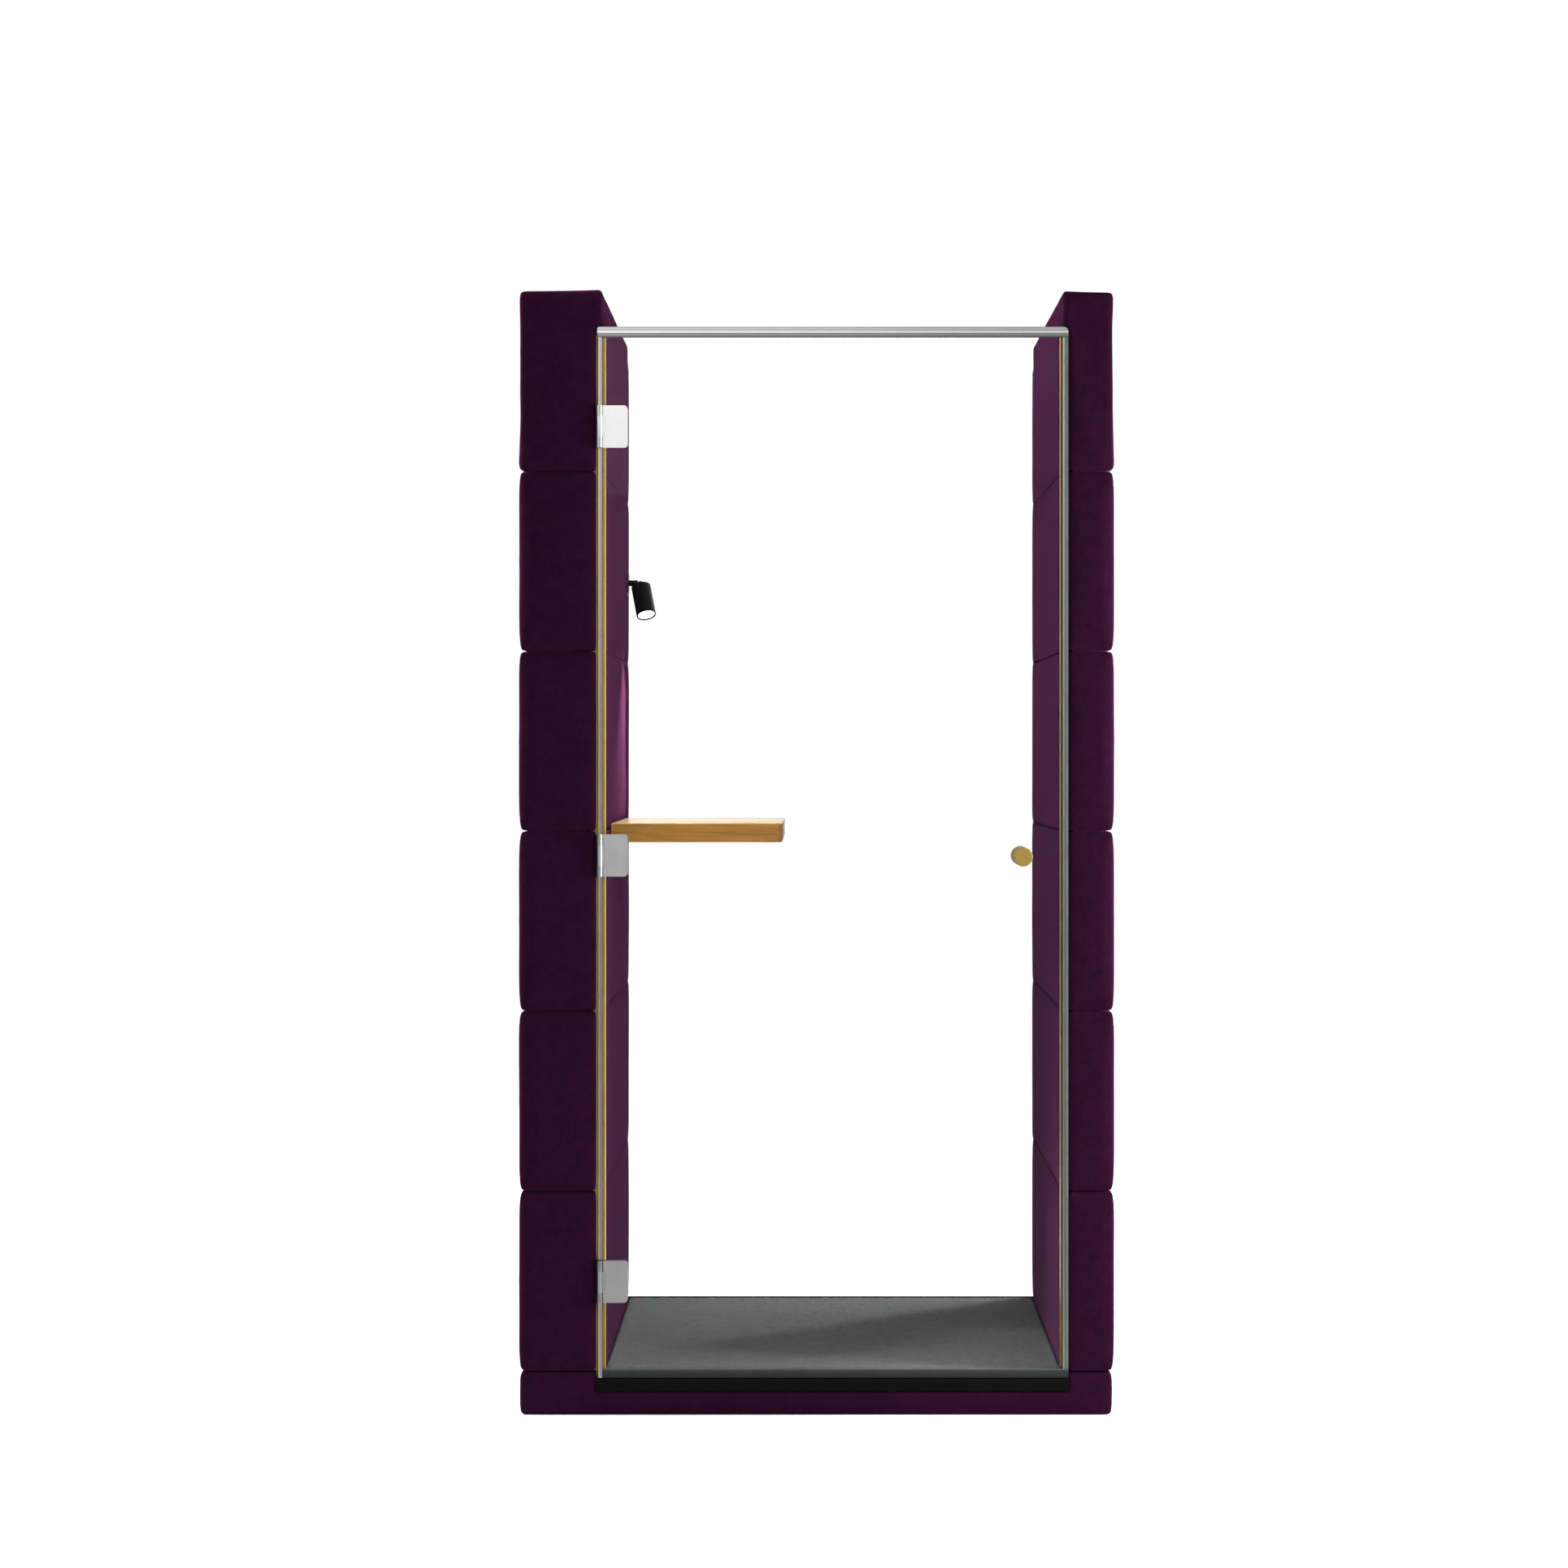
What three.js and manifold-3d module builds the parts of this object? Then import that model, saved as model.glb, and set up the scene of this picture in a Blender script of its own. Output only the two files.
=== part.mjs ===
// A one-person acoustic telephone booth: two walls of stacked upholstered blocks on an upholstered
// base, a hinged glass door, a fixed rear pane, an oak table and a wall lamp.
// Millimetres. X runs right, Y runs from the door to the back, Z runs up. The origin is on the
// floor under the middle of the booth.
import * as THREE from "three";
import { mergeVertices } from "three/addons/utils/BufferGeometryUtils.js";
import Module from "manifold-3d";

const wasm = await Module();
wasm.setup();

// ---- Driving dimensions ----
const WIDTH = 1154;
const DEPTH = 1000;
const BASE_HEIGHT = 85;
const MODULE_HEIGHT = 350;
const MODULE_COUNT = 6;
const LEFT_WALL = 164; // wall thicknesses
const RIGHT_WALL = 100;
const EDGE_ROUND = 12; // rounding of the upholstered edges, along Z
const EDGE_NICK = 11; // how far that rounding pulls a face in at a seam
const BASE_CORNER = 16; // rounding of the base's upright corners
const FIT = 0.3; // gap between pieces that touch

const RIGHT_OUT = WIDTH / 2;
const LEFT_OUT = -RIGHT_OUT;
const LEFT_IN = LEFT_OUT + LEFT_WALL; // the cabin's side planes
const RIGHT_IN = RIGHT_OUT - RIGHT_WALL;
const BACK = DEPTH / 2;
const FRONT = -BACK;

// Rebates in the inner corners of the walls, for the door frame and for the rear pane. The front
// rebate of the left wall is wider behind the upholstered lip, where the jamb tucks in.
const REBATE_WIDTH = 15.5;
const JAMB_TUCK = 10;
const DOOR_REBATE = 60;
const PANE_REBATE = 16.5;
const REBATE_TOP = 2117;
const FRAME_LEFT = LEFT_IN - REBATE_WIDTH;
const FRAME_RIGHT = RIGHT_IN + REBATE_WIDTH;

// Floor: a pocket in the base for the deck and the carpet, and the sill under the door.
const SILL_BOTTOM = 46;
const SILL_TOP = 71;
const SILL_DEPTH = 38;
const DECK_TOP = 78;
const CARPET_TOP = 86;
const FLOOR_INSET = 2.3; // the floor stops short of the soft walls

// Plywood spines inside the walls.
const SPINE_THICKNESS = 30;
const SPINE_DEPTH = 800;
const SPINE_BOTTOM = 45;
const SPINE_TOP = 2125;
const LEFT_SPINE_INSET = 67; // from the left wall's outer plane
const RIGHT_SPINE_INSET = 35; // from the right wall's inner plane
const SLOT_GAP = 0.5;

// Jambs.
const JAMB_PROUD = 2; // how far the left jamb stands proud of the wall's inner plane
const JAMB_DEPTH = 40;
const JAMB_FRONT = FRONT + 19;
const JAMB_TOP = 2100;

// Door leaf.
const GLASS_THICKNESS = 10;
const GLASS_FRONT = FRONT + 4;
const GLASS_BACK = GLASS_FRONT + GLASS_THICKNESS;
const LEAF_LEFT = FRAME_LEFT + 3.5;
const LEAF_RIGHT = FRAME_RIGHT - 2;
const LEAF_BOTTOM = 72.5;
const LEAF_TOP = 2115;
const TOP_RAIL = 20;
const RAIL_CORNERS = { left: 4, right: 10 };
const RAIL_LIP = 6; // height of the lip under the rail's shadow line
const RAIL_LIP_STEP = 0.6; // how far the lip stands back from the rail's face
const SHADOW_LINE = { height: 1.2, depth: 1.4 };
const BOTTOM_SEAL = 17.5;
const HINGE_PROFILE = 7;
const LATCH_PROFILE = 6;
const LATCH_SEAL = 6;
const GROOVE_DEPTH = 9; // how deep the glass sits in the rail and seal

// Hinges.
const HINGE_HEIGHTS = { top: 1921, middle: 1087.5, bottom: 259.5 };
const HINGE_X = LEAF_LEFT + 5.5;
const HINGE_Y = FRONT - 5;
const BARREL_RADIUS = 5;
const PIN_RADIUS = 2.5;
const PLATE_HEIGHT = 82;
const PLATE_WIDTH = 48;
const PLATE_THICKNESS = 3.7;
const PLATE_CORNER = 8;
const PLATE_START = 5.7; // from the pin to the plates
const PLATE_ROOT = 8.5; // from the pin to the end of the door plate's root
const KNUCKLE = 20; // height of each end knuckle
const LEAF_METAL = 3.3; // thickness of the fixed leaf's web
const FLANGE = 3;

// Knobs.
const KNOB_X = 400;
const KNOB_Z = 1086;
const KNOB_RADIUS = 18.5;
const KNOB_LENGTH = 54;
const BOLT_RADIUS = 4;
const BOLT_LENGTH = 56;

// Table.
const TABLE_REACH = 345;
const TABLE_FRONT = -232;
const TABLE_BACK = 395;
const TABLE_TOP = 1145;
const TABLE_THICKNESS = 38;
const TABLE_CORNER = 14;
const ROD_RADIUS = 7;
const ROD_Z = 1120;
const ROD_INSET = 110; // from the table's ends to its rods
const ROD_IN_WALL = 82; // from the wall's inner plane
const ROD_IN_TABLE = 218;

// Lamp. The arm turns about its own axis, and the head tilts on a pin below that axis.
const LAMP_ARM = new THREE.Vector3(-381, 350, 1655); // on the arm's axis, above the pin
const LAMP_SWIVEL = THREE.MathUtils.degToRad(27); // towards the door, from straight down
const LAMP_TILT = THREE.MathUtils.degToRad(10.6); // away from the wall
const LAMP_PLATE_RADIUS = 26;
const LAMP_PLATE_THICKNESS = 7;
const ARM_RADIUS = 6.5;
const PIN_DROP = 3; // from the arm's axis to the tilt pin
const HEAD_RADIUS = 21;
const HEAD_LENGTH = 73;
const HEAD_DROP = 4.9; // from the tilt pin to the head's flat top
const HEAD_ROOF = 25; // thickness of the head's solid top
const DRIVER = new THREE.Vector3(24, 120, 44);

// ---- Finishes ----
const finish = (color, roughness, metalness = 0, extra = {}) =>
  new THREE.MeshStandardMaterial({ color, roughness, metalness, ...extra });
const FABRIC = finish(0x33132c, 0.95);
const CARPET = finish(0x4a4a4c, 1);
const PLYWOOD = finish(0xb99a6b, 0.7);
const OAK = finish(0xb08a4e, 0.55);
const BLACK_METAL = finish(0x151515, 0.5, 0.6);
const SATIN = finish(0xb4b6b8, 0.35, 1);
const STEEL = finish(0x8d8f92, 0.4, 1);
const GLASS = finish(0xdfeeea, 0.05, 0, { transparent: true, opacity: 0.2 });
const GREY_SEAL = finish(0x3d4643, 0.6);
const DARK_SEAL = finish(0x2b2c2c, 0.5);
const MAGNET = finish(0x202020, 0.8);
const LAMP_BLACK = finish(0x0c0c0c, 0.6, 0.3);
const LENS = finish(0xfff4de, 0.3, 0, { emissive: 0xffe8c4 });
const LED = finish(0xe8e4d0, 0.6);

// ---- Geometry helpers ----
function toSolid(geometry) {
  const bare = geometry.clone();
  bare.deleteAttribute("normal");
  bare.deleteAttribute("uv");
  const merged = mergeVertices(bare, 1e-4);
  return new wasm.Manifold(
    new wasm.Mesh({
      numProp: 3,
      vertProperties: merged.attributes.position.array,
      triVerts: new Uint32Array(merged.index.array),
    }),
  );
}

function toGeometry(solid) {
  const mesh = solid.getMesh();
  const geometry = new THREE.BufferGeometry();
  geometry.setAttribute("position", new THREE.BufferAttribute(mesh.vertProperties, 3));
  geometry.setIndex(new THREE.BufferAttribute(mesh.triVerts, 1));
  geometry.computeVertexNormals();
  return geometry;
}

function cut(geometry, ...tools) {
  return toGeometry(tools.reduce((solid, tool) => solid.subtract(toSolid(tool)), toSolid(geometry)));
}

function join(...geometries) {
  const [first, ...rest] = geometries.map(toSolid);
  return toGeometry(rest.reduce((solid, other) => solid.add(other), first));
}

const widened = ([low, high], by) => [low - by, high + by];

// A box between two values on each axis.
function block([x0, x1], [y0, y1], [z0, z1]) {
  const geometry = new THREE.BoxGeometry(x1 - x0, y1 - y0, z1 - z0);
  return geometry.translate((x0 + x1) / 2, (y0 + y1) / 2, (z0 + z1) / 2);
}

// A rectangle with its own rounding at each corner, anticlockwise from the lower left.
function roundedRect([x0, x1], [y0, y1], radii, steps = 3) {
  const corners = [[x0, y0, 1, 1], [x1, y0, -1, 1], [x1, y1, -1, -1], [x0, y1, 1, -1]];
  const points = corners.flatMap(([x, y, inX, inY], i) => {
    const r = radii[i];
    if (r === 0) return [new THREE.Vector2(x, y)];
    return Array.from({ length: steps + 1 }, (_, k) => {
      const angle = Math.PI + (i + k / steps) * (Math.PI / 2);
      return new THREE.Vector2(x + r * (inX + Math.cos(angle)), y + r * (inY + Math.sin(angle)));
    });
  });
  return new THREE.Shape(points);
}

// An outline in X and Y, raised from z0 to z1 with plain edges.
function raise(shape, [z0, z1]) {
  const geometry = new THREE.ExtrudeGeometry(shape, { depth: z1 - z0, bevelEnabled: false });
  return geometry.translate(0, 0, z0);
}

// The same with edges rounded over `round` in height and pulled in by `nick`.
function raiseRounded(shape, [z0, z1], round, nick, steps = 2) {
  const geometry = new THREE.ExtrudeGeometry(shape, {
    depth: z1 - z0 - 2 * round,
    bevelThickness: round,
    bevelSize: nick,
    bevelOffset: -nick,
    bevelSegments: steps,
  });
  return geometry.translate(0, 0, z0 + round);
}

// An outline in X and Z, taken from y0 to y1.
function deepen(shape, [y0, y1]) {
  return raise(shape, [-y1, -y0]).rotateX(Math.PI / 2);
}

// A round bar along Z from z0 to z1.
function bar(radius, [z0, z1], sides = 24) {
  const geometry = new THREE.CylinderGeometry(radius, radius, z1 - z0, sides);
  return geometry.rotateX(Math.PI / 2).translate(0, 0, (z0 + z1) / 2);
}

// A profile of [radius, z] points turned about Z.
function turned(points, sides = 32) {
  const profile = points.map(([r, z]) => new THREE.Vector2(r, z));
  return new THREE.LatheGeometry(profile, sides).rotateX(Math.PI / 2);
}

function part(group, name, geometry, material) {
  const mesh = new THREE.Mesh(geometry, material);
  mesh.name = name;
  group.add(mesh);
  return mesh;
}

const booth = new THREE.Group();

// ---- Base ----
const FLOOR_X = [LEFT_IN + FLOOR_INSET, RIGHT_IN - FLOOR_INSET];
const FLOOR_Y = [FRONT + SILL_DEPTH, BACK - PANE_REBATE];
const SILL_X = [FRAME_LEFT + FIT, FRAME_RIGHT - FIT];
const SPINE_Y = [-SPINE_DEPTH / 2, SPINE_DEPTH / 2];
const spine = (name, start) => ({ name, x: [start, start + SPINE_THICKNESS] });
const SPINES = [
  spine("left_spine", LEFT_OUT + LEFT_SPINE_INSET),
  spine("right_spine", RIGHT_IN + RIGHT_SPINE_INSET),
];

function basePlinth() {
  const outline = roundedRect([LEFT_OUT, RIGHT_OUT], [FRONT, BACK], Array(4).fill(BASE_CORNER));
  const body = raiseRounded(outline, [0, BASE_HEIGHT - FIT], EDGE_ROUND, EDGE_NICK);
  const above = [SILL_BOTTOM, BASE_HEIGHT + 1];
  const pocket = block([FLOOR_X[0] - FIT, FLOOR_X[1] + FIT], [FRONT - 1, BACK + 1], above);
  const frontRecess = block([FRAME_LEFT, FRAME_RIGHT], [FRONT - 1, FRONT + DOOR_REBATE], above);
  const rearRecess = block([FRAME_LEFT, FRAME_RIGHT], [BACK - PANE_REBATE, BACK + 1], above);
  const sockets = SPINES.map(({ x }) =>
    block(widened(x, SLOT_GAP), widened(SPINE_Y, SLOT_GAP), [SPINE_BOTTOM - FIT, BASE_HEIGHT + 1]),
  );
  return cut(body, pocket, frontRecess, rearRecess, ...sockets);
}

function threshold() {
  const foot = JAMB_FRONT + JAMB_DEPTH; // the sill runs back under each jamb
  const back = FLOOR_Y[0] - FIT;
  const shape = new THREE.Shape();
  shape.moveTo(SILL_X[0], FRONT);
  shape.lineTo(SILL_X[1], FRONT);
  shape.lineTo(SILL_X[1], foot);
  shape.lineTo(FLOOR_X[1] + FIT, foot);
  shape.lineTo(FLOOR_X[1] + FIT, back);
  shape.lineTo(FLOOR_X[0] - FIT, back);
  shape.lineTo(FLOOR_X[0] - FIT, foot);
  shape.lineTo(SILL_X[0], foot);
  shape.closePath();
  return raise(shape, [SILL_BOTTOM + FIT, SILL_TOP]);
}

const base = new THREE.Group();
booth.add(base);
part(base, "base_plinth", basePlinth(), FABRIC);
const floorDepth = [FLOOR_Y[0], FLOOR_Y[1] - FIT];
part(base, "floor_deck", block(FLOOR_X, floorDepth, [SILL_BOTTOM + FIT, DECK_TOP]), PLYWOOD);
part(base, "floor_carpet", block(FLOOR_X, floorDepth, [DECK_TOP + FIT, CARPET_TOP]), CARPET);
part(base, "door_threshold", threshold(), BLACK_METAL);

// ---- Walls ----
// Rods that carry the table run from the left spine through the third block into the table.
const ROD_YS = [TABLE_FRONT + ROD_INSET, TABLE_BACK - ROD_INSET];
const ROD_X = [LEFT_IN - ROD_IN_WALL, LEFT_IN + ROD_IN_TABLE];

function rodAt(y, radius, [x0, x1]) {
  return bar(radius, [x0, x1], 20).rotateY(Math.PI / 2).translate(0, y, ROD_Z);
}

// The LED driver sits in a pocket between the left spine and the lamp.
const DRIVER_X = [SPINES[0].x[1] + 2, SPINES[0].x[1] + 2 + DRIVER.x];
const DRIVER_Y = [LAMP_ARM.y - DRIVER.y / 2, LAMP_ARM.y + DRIVER.y / 2];
const DRIVER_Z = [LAMP_ARM.z - DRIVER.z / 2, LAMP_ARM.z + DRIVER.z / 2];

// One upholstered block of a wall. Blocks count from the base, starting at 1.
function wallModule([inner, outer], number, spineX) {
  const z0 = BASE_HEIGHT + (number - 1) * MODULE_HEIGHT;
  const z1 = z0 + MODULE_HEIGHT - FIT;
  const [low, high] = inner < outer ? [inner, outer] : [outer, inner];
  const outline = roundedRect([low, high], [FRONT, BACK], Array(4).fill(EDGE_ROUND));
  const rebate = inner < outer ? [inner - 1, FRAME_RIGHT] : [FRAME_LEFT, inner + 1];
  const rebateHeight = [z0 - 1, Math.min(z1 + 1, REBATE_TOP)];
  const tools = [
    block(rebate, [FRONT - 1, FRONT + DOOR_REBATE], rebateHeight),
    block(rebate, [BACK - PANE_REBATE, BACK + 1], rebateHeight),
    block(widened(spineX, SLOT_GAP), widened(SPINE_Y, SLOT_GAP), [z0 - 1, Math.min(z1 + 1, SPINE_TOP + FIT)]),
  ];
  const isLeft = inner > outer;
  if (isLeft) {
    const tuck = [FRAME_LEFT - JAMB_TUCK, FRAME_LEFT + 1];
    tools.push(block(tuck, [JAMB_FRONT - FIT, FRONT + DOOR_REBATE], rebateHeight));
  }
  if (isLeft && ROD_Z > z0 && ROD_Z < z1) {
    ROD_YS.forEach((y) => tools.push(rodAt(y, ROD_RADIUS + FIT, [spineX[0], inner + 1])));
  }
  if (isLeft && LAMP_ARM.z > z0 && LAMP_ARM.z < z1) {
    tools.push(block([spineX[1] - 1, DRIVER_X[1] + 1], widened(DRIVER_Y, 1), widened(DRIVER_Z, 1)));
  }
  return cut(raiseRounded(outline, [z0, z1], EDGE_ROUND, EDGE_NICK), ...tools);
}

const walls = new THREE.Group();
booth.add(walls);
for (let number = 1; number <= MODULE_COUNT; number++) {
  part(walls, `left_module_${number}`, wallModule([LEFT_IN, LEFT_OUT], number, SPINES[0].x), FABRIC);
  part(walls, `right_module_${number}`, wallModule([RIGHT_IN, RIGHT_OUT], number, SPINES[1].x), FABRIC);
}
const [leftSpine, rightSpine] = SPINES.map(({ x }) => block(x, SPINE_Y, [SPINE_BOTTOM, SPINE_TOP]));
const rodBores = ROD_YS.map((y) => rodAt(y, ROD_RADIUS + FIT, [ROD_X[0] - FIT, SPINES[0].x[1] + 1]));
part(walls, SPINES[0].name, cut(leftSpine, ...rodBores), PLYWOOD);
part(walls, SPINES[1].name, rightSpine, PLYWOOD);
part(walls, "lamp_driver", block(DRIVER_X, DRIVER_Y, DRIVER_Z), LED);

// ---- Door frame: two oak jambs, the right one with the strike strip in its front edge ----
const STRIP_X = [LEAF_RIGHT - 11, LEAF_RIGHT - 3];
const STRIP_Z = [150, 2050];
const JAMB_Y = [JAMB_FRONT, JAMB_FRONT + JAMB_DEPTH - FIT];
const JAMB_Z = [SILL_TOP + FIT, JAMB_TOP];
const STRIP_DEPTH = 3;

const frame = new THREE.Group();
booth.add(frame);
const jambFace = block([FRAME_LEFT + FIT, LEFT_IN + JAMB_PROUD], JAMB_Y, JAMB_Z);
const jambTongue = block([FRAME_LEFT - JAMB_TUCK + FIT, LEFT_IN], JAMB_Y, [BASE_HEIGHT, JAMB_TOP]);
part(frame, "left_jamb", join(jambFace, jambTongue), OAK);
const strikeY = [JAMB_FRONT - 1, JAMB_FRONT + STRIP_DEPTH + FIT];
const strikeGroove = block(widened(STRIP_X, FIT), strikeY, widened(STRIP_Z, FIT));
const rightJamb = block([RIGHT_IN - FIT, FRAME_RIGHT - FIT], JAMB_Y, JAMB_Z);
part(frame, "right_jamb", cut(rightJamb, strikeGroove), OAK);
part(frame, "strike_strip", block(STRIP_X, [JAMB_FRONT, JAMB_FRONT + STRIP_DEPTH], STRIP_Z), MAGNET);

// ---- Door leaf ----
const SEAL_BACK = GLASS_BACK + 1; // profiles and seals lap the glass by this much at the back
const SEAL_FRONT = GLASS_FRONT - 2;
const GROOVE_Y = [GLASS_FRONT - FIT, GLASS_BACK + FIT];
const SIDE_Z = [LEAF_BOTTOM + BOTTOM_SEAL + FIT, LEAF_TOP - TOP_RAIL - FIT];
const GLASS_X = [LEAF_LEFT + 5, LEAF_RIGHT - LATCH_SEAL - 3];
const GLASS_Z = [LEAF_BOTTOM + BOTTOM_SEAL - GROOVE_DEPTH, LEAF_TOP - TOP_RAIL + GROOVE_DEPTH];
const LATCH_X = [LEAF_RIGHT - LATCH_SEAL - LATCH_PROFILE, LEAF_RIGHT - LATCH_SEAL - FIT];
const HINGE_SIDE = [LEAF_LEFT + 2, LEAF_LEFT + 2 + HINGE_PROFILE];

function topRail() {
  const bottom = LEAF_TOP - TOP_RAIL;
  const corners = [0, 0, RAIL_CORNERS.right, RAIL_CORNERS.left];
  const outline = roundedRect([LEAF_LEFT, LEAF_RIGHT], [bottom, LEAF_TOP], corners, 6);
  const front = GLASS_FRONT - 3;
  const body = deepen(outline, [front, GLASS_BACK + 3]);
  const glassGroove = block(widened(GLASS_X, FIT), GROOVE_Y, [bottom - 1, GLASS_Z[1] + FIT]);
  const lipTop = bottom + RAIL_LIP;
  const across = widened([LEAF_LEFT, LEAF_RIGHT], 1);
  const lineTop = lipTop + SHADOW_LINE.height;
  const line = block(across, [front - 1, front + SHADOW_LINE.depth], [lipTop, lineTop]);
  const step = block(across, [front - 1, front + RAIL_LIP_STEP], [bottom - 1, (lipTop + lineTop) / 2]);
  return cut(body, glassGroove, line, step);
}

function bottomSeal() {
  const top = LEAF_BOTTOM + BOTTOM_SEAL;
  const body = block([HINGE_SIDE[1] + FIT, LEAF_RIGHT], [SEAL_FRONT, SEAL_BACK], [LEAF_BOTTOM, top]);
  return cut(body, block(widened(GLASS_X, FIT), GROOVE_Y, [GLASS_Z[0] - FIT, top + 1]));
}

// An upright edge profile: a channel that the glass edge sits in.
function edgeProfile([x0, x1], zs, groove, [y0, y1], grooveY) {
  return cut(block([x0, x1], [y0, y1], zs), block(groove, grooveY, [zs[0] - 1, zs[1] + 1]));
}

function boredGlass() {
  const hole = bar(BOLT_RADIUS + 2, [GLASS_FRONT - 1, GLASS_BACK + 1]).rotateX(-Math.PI / 2);
  return cut(block(GLASS_X, [GLASS_FRONT, GLASS_BACK], GLASS_Z), hole.translate(KNOB_X, 0, KNOB_Z));
}

const door = new THREE.Group();
booth.add(door);
part(door, "door_glass", boredGlass(), GLASS);
part(door, "door_top_rail", topRail(), SATIN);
part(door, "door_bottom_seal", bottomSeal(), DARK_SEAL);
const sealY = [SEAL_FRONT, SEAL_BACK];
const hingeGroove = [GLASS_X[0] - FIT, HINGE_SIDE[1] + 1];
part(
  door,
  "door_hinge_profile",
  edgeProfile(HINGE_SIDE, [LEAF_BOTTOM, SIDE_Z[1]], hingeGroove, sealY, GROOVE_Y),
  SATIN,
);
part(
  door,
  "door_latch_profile",
  edgeProfile(LATCH_X, SIDE_Z, [LATCH_X[0] - 1, GLASS_X[1] + FIT], sealY, GROOVE_Y),
  SATIN,
);
const latchSeal = block([LEAF_RIGHT - LATCH_SEAL, LEAF_RIGHT], [SEAL_FRONT + 1, SEAL_BACK], SIDE_Z);
part(door, "door_latch_seal", latchSeal, GREY_SEAL);
part(door, "door_magnet_strip", block(STRIP_X, [SEAL_BACK + FIT, JAMB_FRONT - 1], STRIP_Z), MAGNET);

// Knobs: a turned oak knob on each face, drawn together by a bolt through the glass.
function knob() {
  const bore = BOLT_RADIUS + FIT;
  const boreEnd = 30;
  const rim = 2;
  const rimSteps = [0, 30, 60, 90].map((deg) => THREE.MathUtils.degToRad(deg));
  const rounded = rimSteps.map((a) => [
    KNOB_RADIUS - rim + rim * Math.cos(a),
    KNOB_LENGTH - rim + rim * Math.sin(a),
  ]);
  const foot = [[0, boreEnd], [bore, boreEnd], [bore, 0], [KNOB_RADIUS - 1, 0], [KNOB_RADIUS, 1]];
  return turned([...foot, ...rounded, [0, KNOB_LENGTH]]);
}
const outerKnob = part(door, "knob_outer", knob(), OAK);
outerKnob.position.set(KNOB_X, GLASS_FRONT - FIT, KNOB_Z);
outerKnob.rotation.x = Math.PI / 2;
const innerKnob = part(door, "knob_inner", knob(), OAK);
innerKnob.position.set(KNOB_X, GLASS_BACK + FIT, KNOB_Z);
innerKnob.rotation.x = -Math.PI / 2;
const bolt = part(door, "knob_bolt", bar(BOLT_RADIUS, [-BOLT_LENGTH / 2, BOLT_LENGTH / 2], 20), STEEL);
bolt.position.set(KNOB_X, (GLASS_FRONT + GLASS_BACK) / 2, KNOB_Z);
bolt.rotation.x = Math.PI / 2;

// ---- Hinges ----
// Each is built around its own pin, at the middle of its height.
const HALF_PLATE = PLATE_HEIGHT / 2;
const INNER_KNUCKLE = [-HALF_PLATE + KNUCKLE, HALF_PLATE - KNUCKLE];
const BARREL_SIDES = 24;

function pinBore(height) {
  return bar(PIN_RADIUS + 0.1, widened(height, 1), BARREL_SIDES);
}

// The fixed leaf: end knuckles, a web that goes back past the door's edge, and a flange on the jamb.
function fixedLeaf() {
  const webStart = FRAME_LEFT + 0.4 - HINGE_X;
  const webX = [webStart, webStart + LEAF_METAL];
  const flangeBack = JAMB_FRONT - FIT - HINGE_Y;
  const full = [-HALF_PLATE, HALF_PLATE];
  const web = block(webX, [0, flangeBack], full);
  const flange = block([webX[0], LEFT_IN - 2 - HINGE_X], [flangeBack - FLANGE, flangeBack], full);
  const ends = [[-HALF_PLATE, INNER_KNUCKLE[0] - FIT], [INNER_KNUCKLE[1] + FIT, HALF_PLATE]];
  const knuckles = ends.flatMap((z) => [bar(BARREL_RADIUS, z, BARREL_SIDES), block([webX[0], 0], [0, 3], z)]);
  return cut(join(web, flange, ...knuckles), pinBore(full));
}

// A glass plate with its front at the given Y.
function glassPlate(front) {
  const across = [PLATE_START, PLATE_START + PLATE_WIDTH];
  const corners = [0, PLATE_CORNER, PLATE_CORNER, 0];
  const outline = roundedRect(across, [-HALF_PLATE, HALF_PLATE], corners, 5);
  return deepen(outline, [front, front + PLATE_THICKNESS]);
}

// The door plate on the outside of the glass, with the middle knuckle.
function doorPlate() {
  const plate = glassPlate(GLASS_FRONT - FIT - PLATE_THICKNESS - HINGE_Y);
  const knuckle = bar(BARREL_RADIUS, INNER_KNUCKLE, BARREL_SIDES);
  const root = block([0, PLATE_ROOT], [1, SEAL_FRONT - 0.5 - HINGE_Y], INNER_KNUCKLE);
  return cut(join(plate, knuckle, root), pinBore(INNER_KNUCKLE));
}

for (const [place, z] of Object.entries(HINGE_HEIGHTS)) {
  const hinge = new THREE.Group();
  hinge.position.set(HINGE_X, HINGE_Y, z);
  booth.add(hinge);
  part(hinge, `hinge_${place}_fixed_leaf`, fixedLeaf(), SATIN);
  part(hinge, `hinge_${place}_door_plate`, doorPlate(), SATIN);
  part(hinge, `hinge_${place}_clamp_plate`, glassPlate(GLASS_BACK + FIT - HINGE_Y), SATIN);
  part(hinge, `hinge_${place}_pin`, bar(PIN_RADIUS, [-HALF_PLATE, HALF_PLATE], BARREL_SIDES), STEEL);
}

// ---- Rear pane: fixed glass in edge profiles, standing in a bottom channel ----
const PANE_Y = [BACK - 14, BACK - 4];
const PANE_GROOVE = widened(PANE_Y, FIT);
const CHANNEL_Y = [BACK - PANE_REBATE + FIT, BACK - 0.5];
const PANE_PROFILE = 13;
const PANE_LEFT = [FRAME_LEFT + FIT, FRAME_LEFT + PANE_PROFILE];
const PANE_RIGHT = [FRAME_RIGHT - PANE_PROFILE, FRAME_RIGHT - FIT];
const PANE_EDGE = 6; // how far the glass edge stays inside each profile's outer face
const PANE_BOTTOM = 56;

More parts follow.
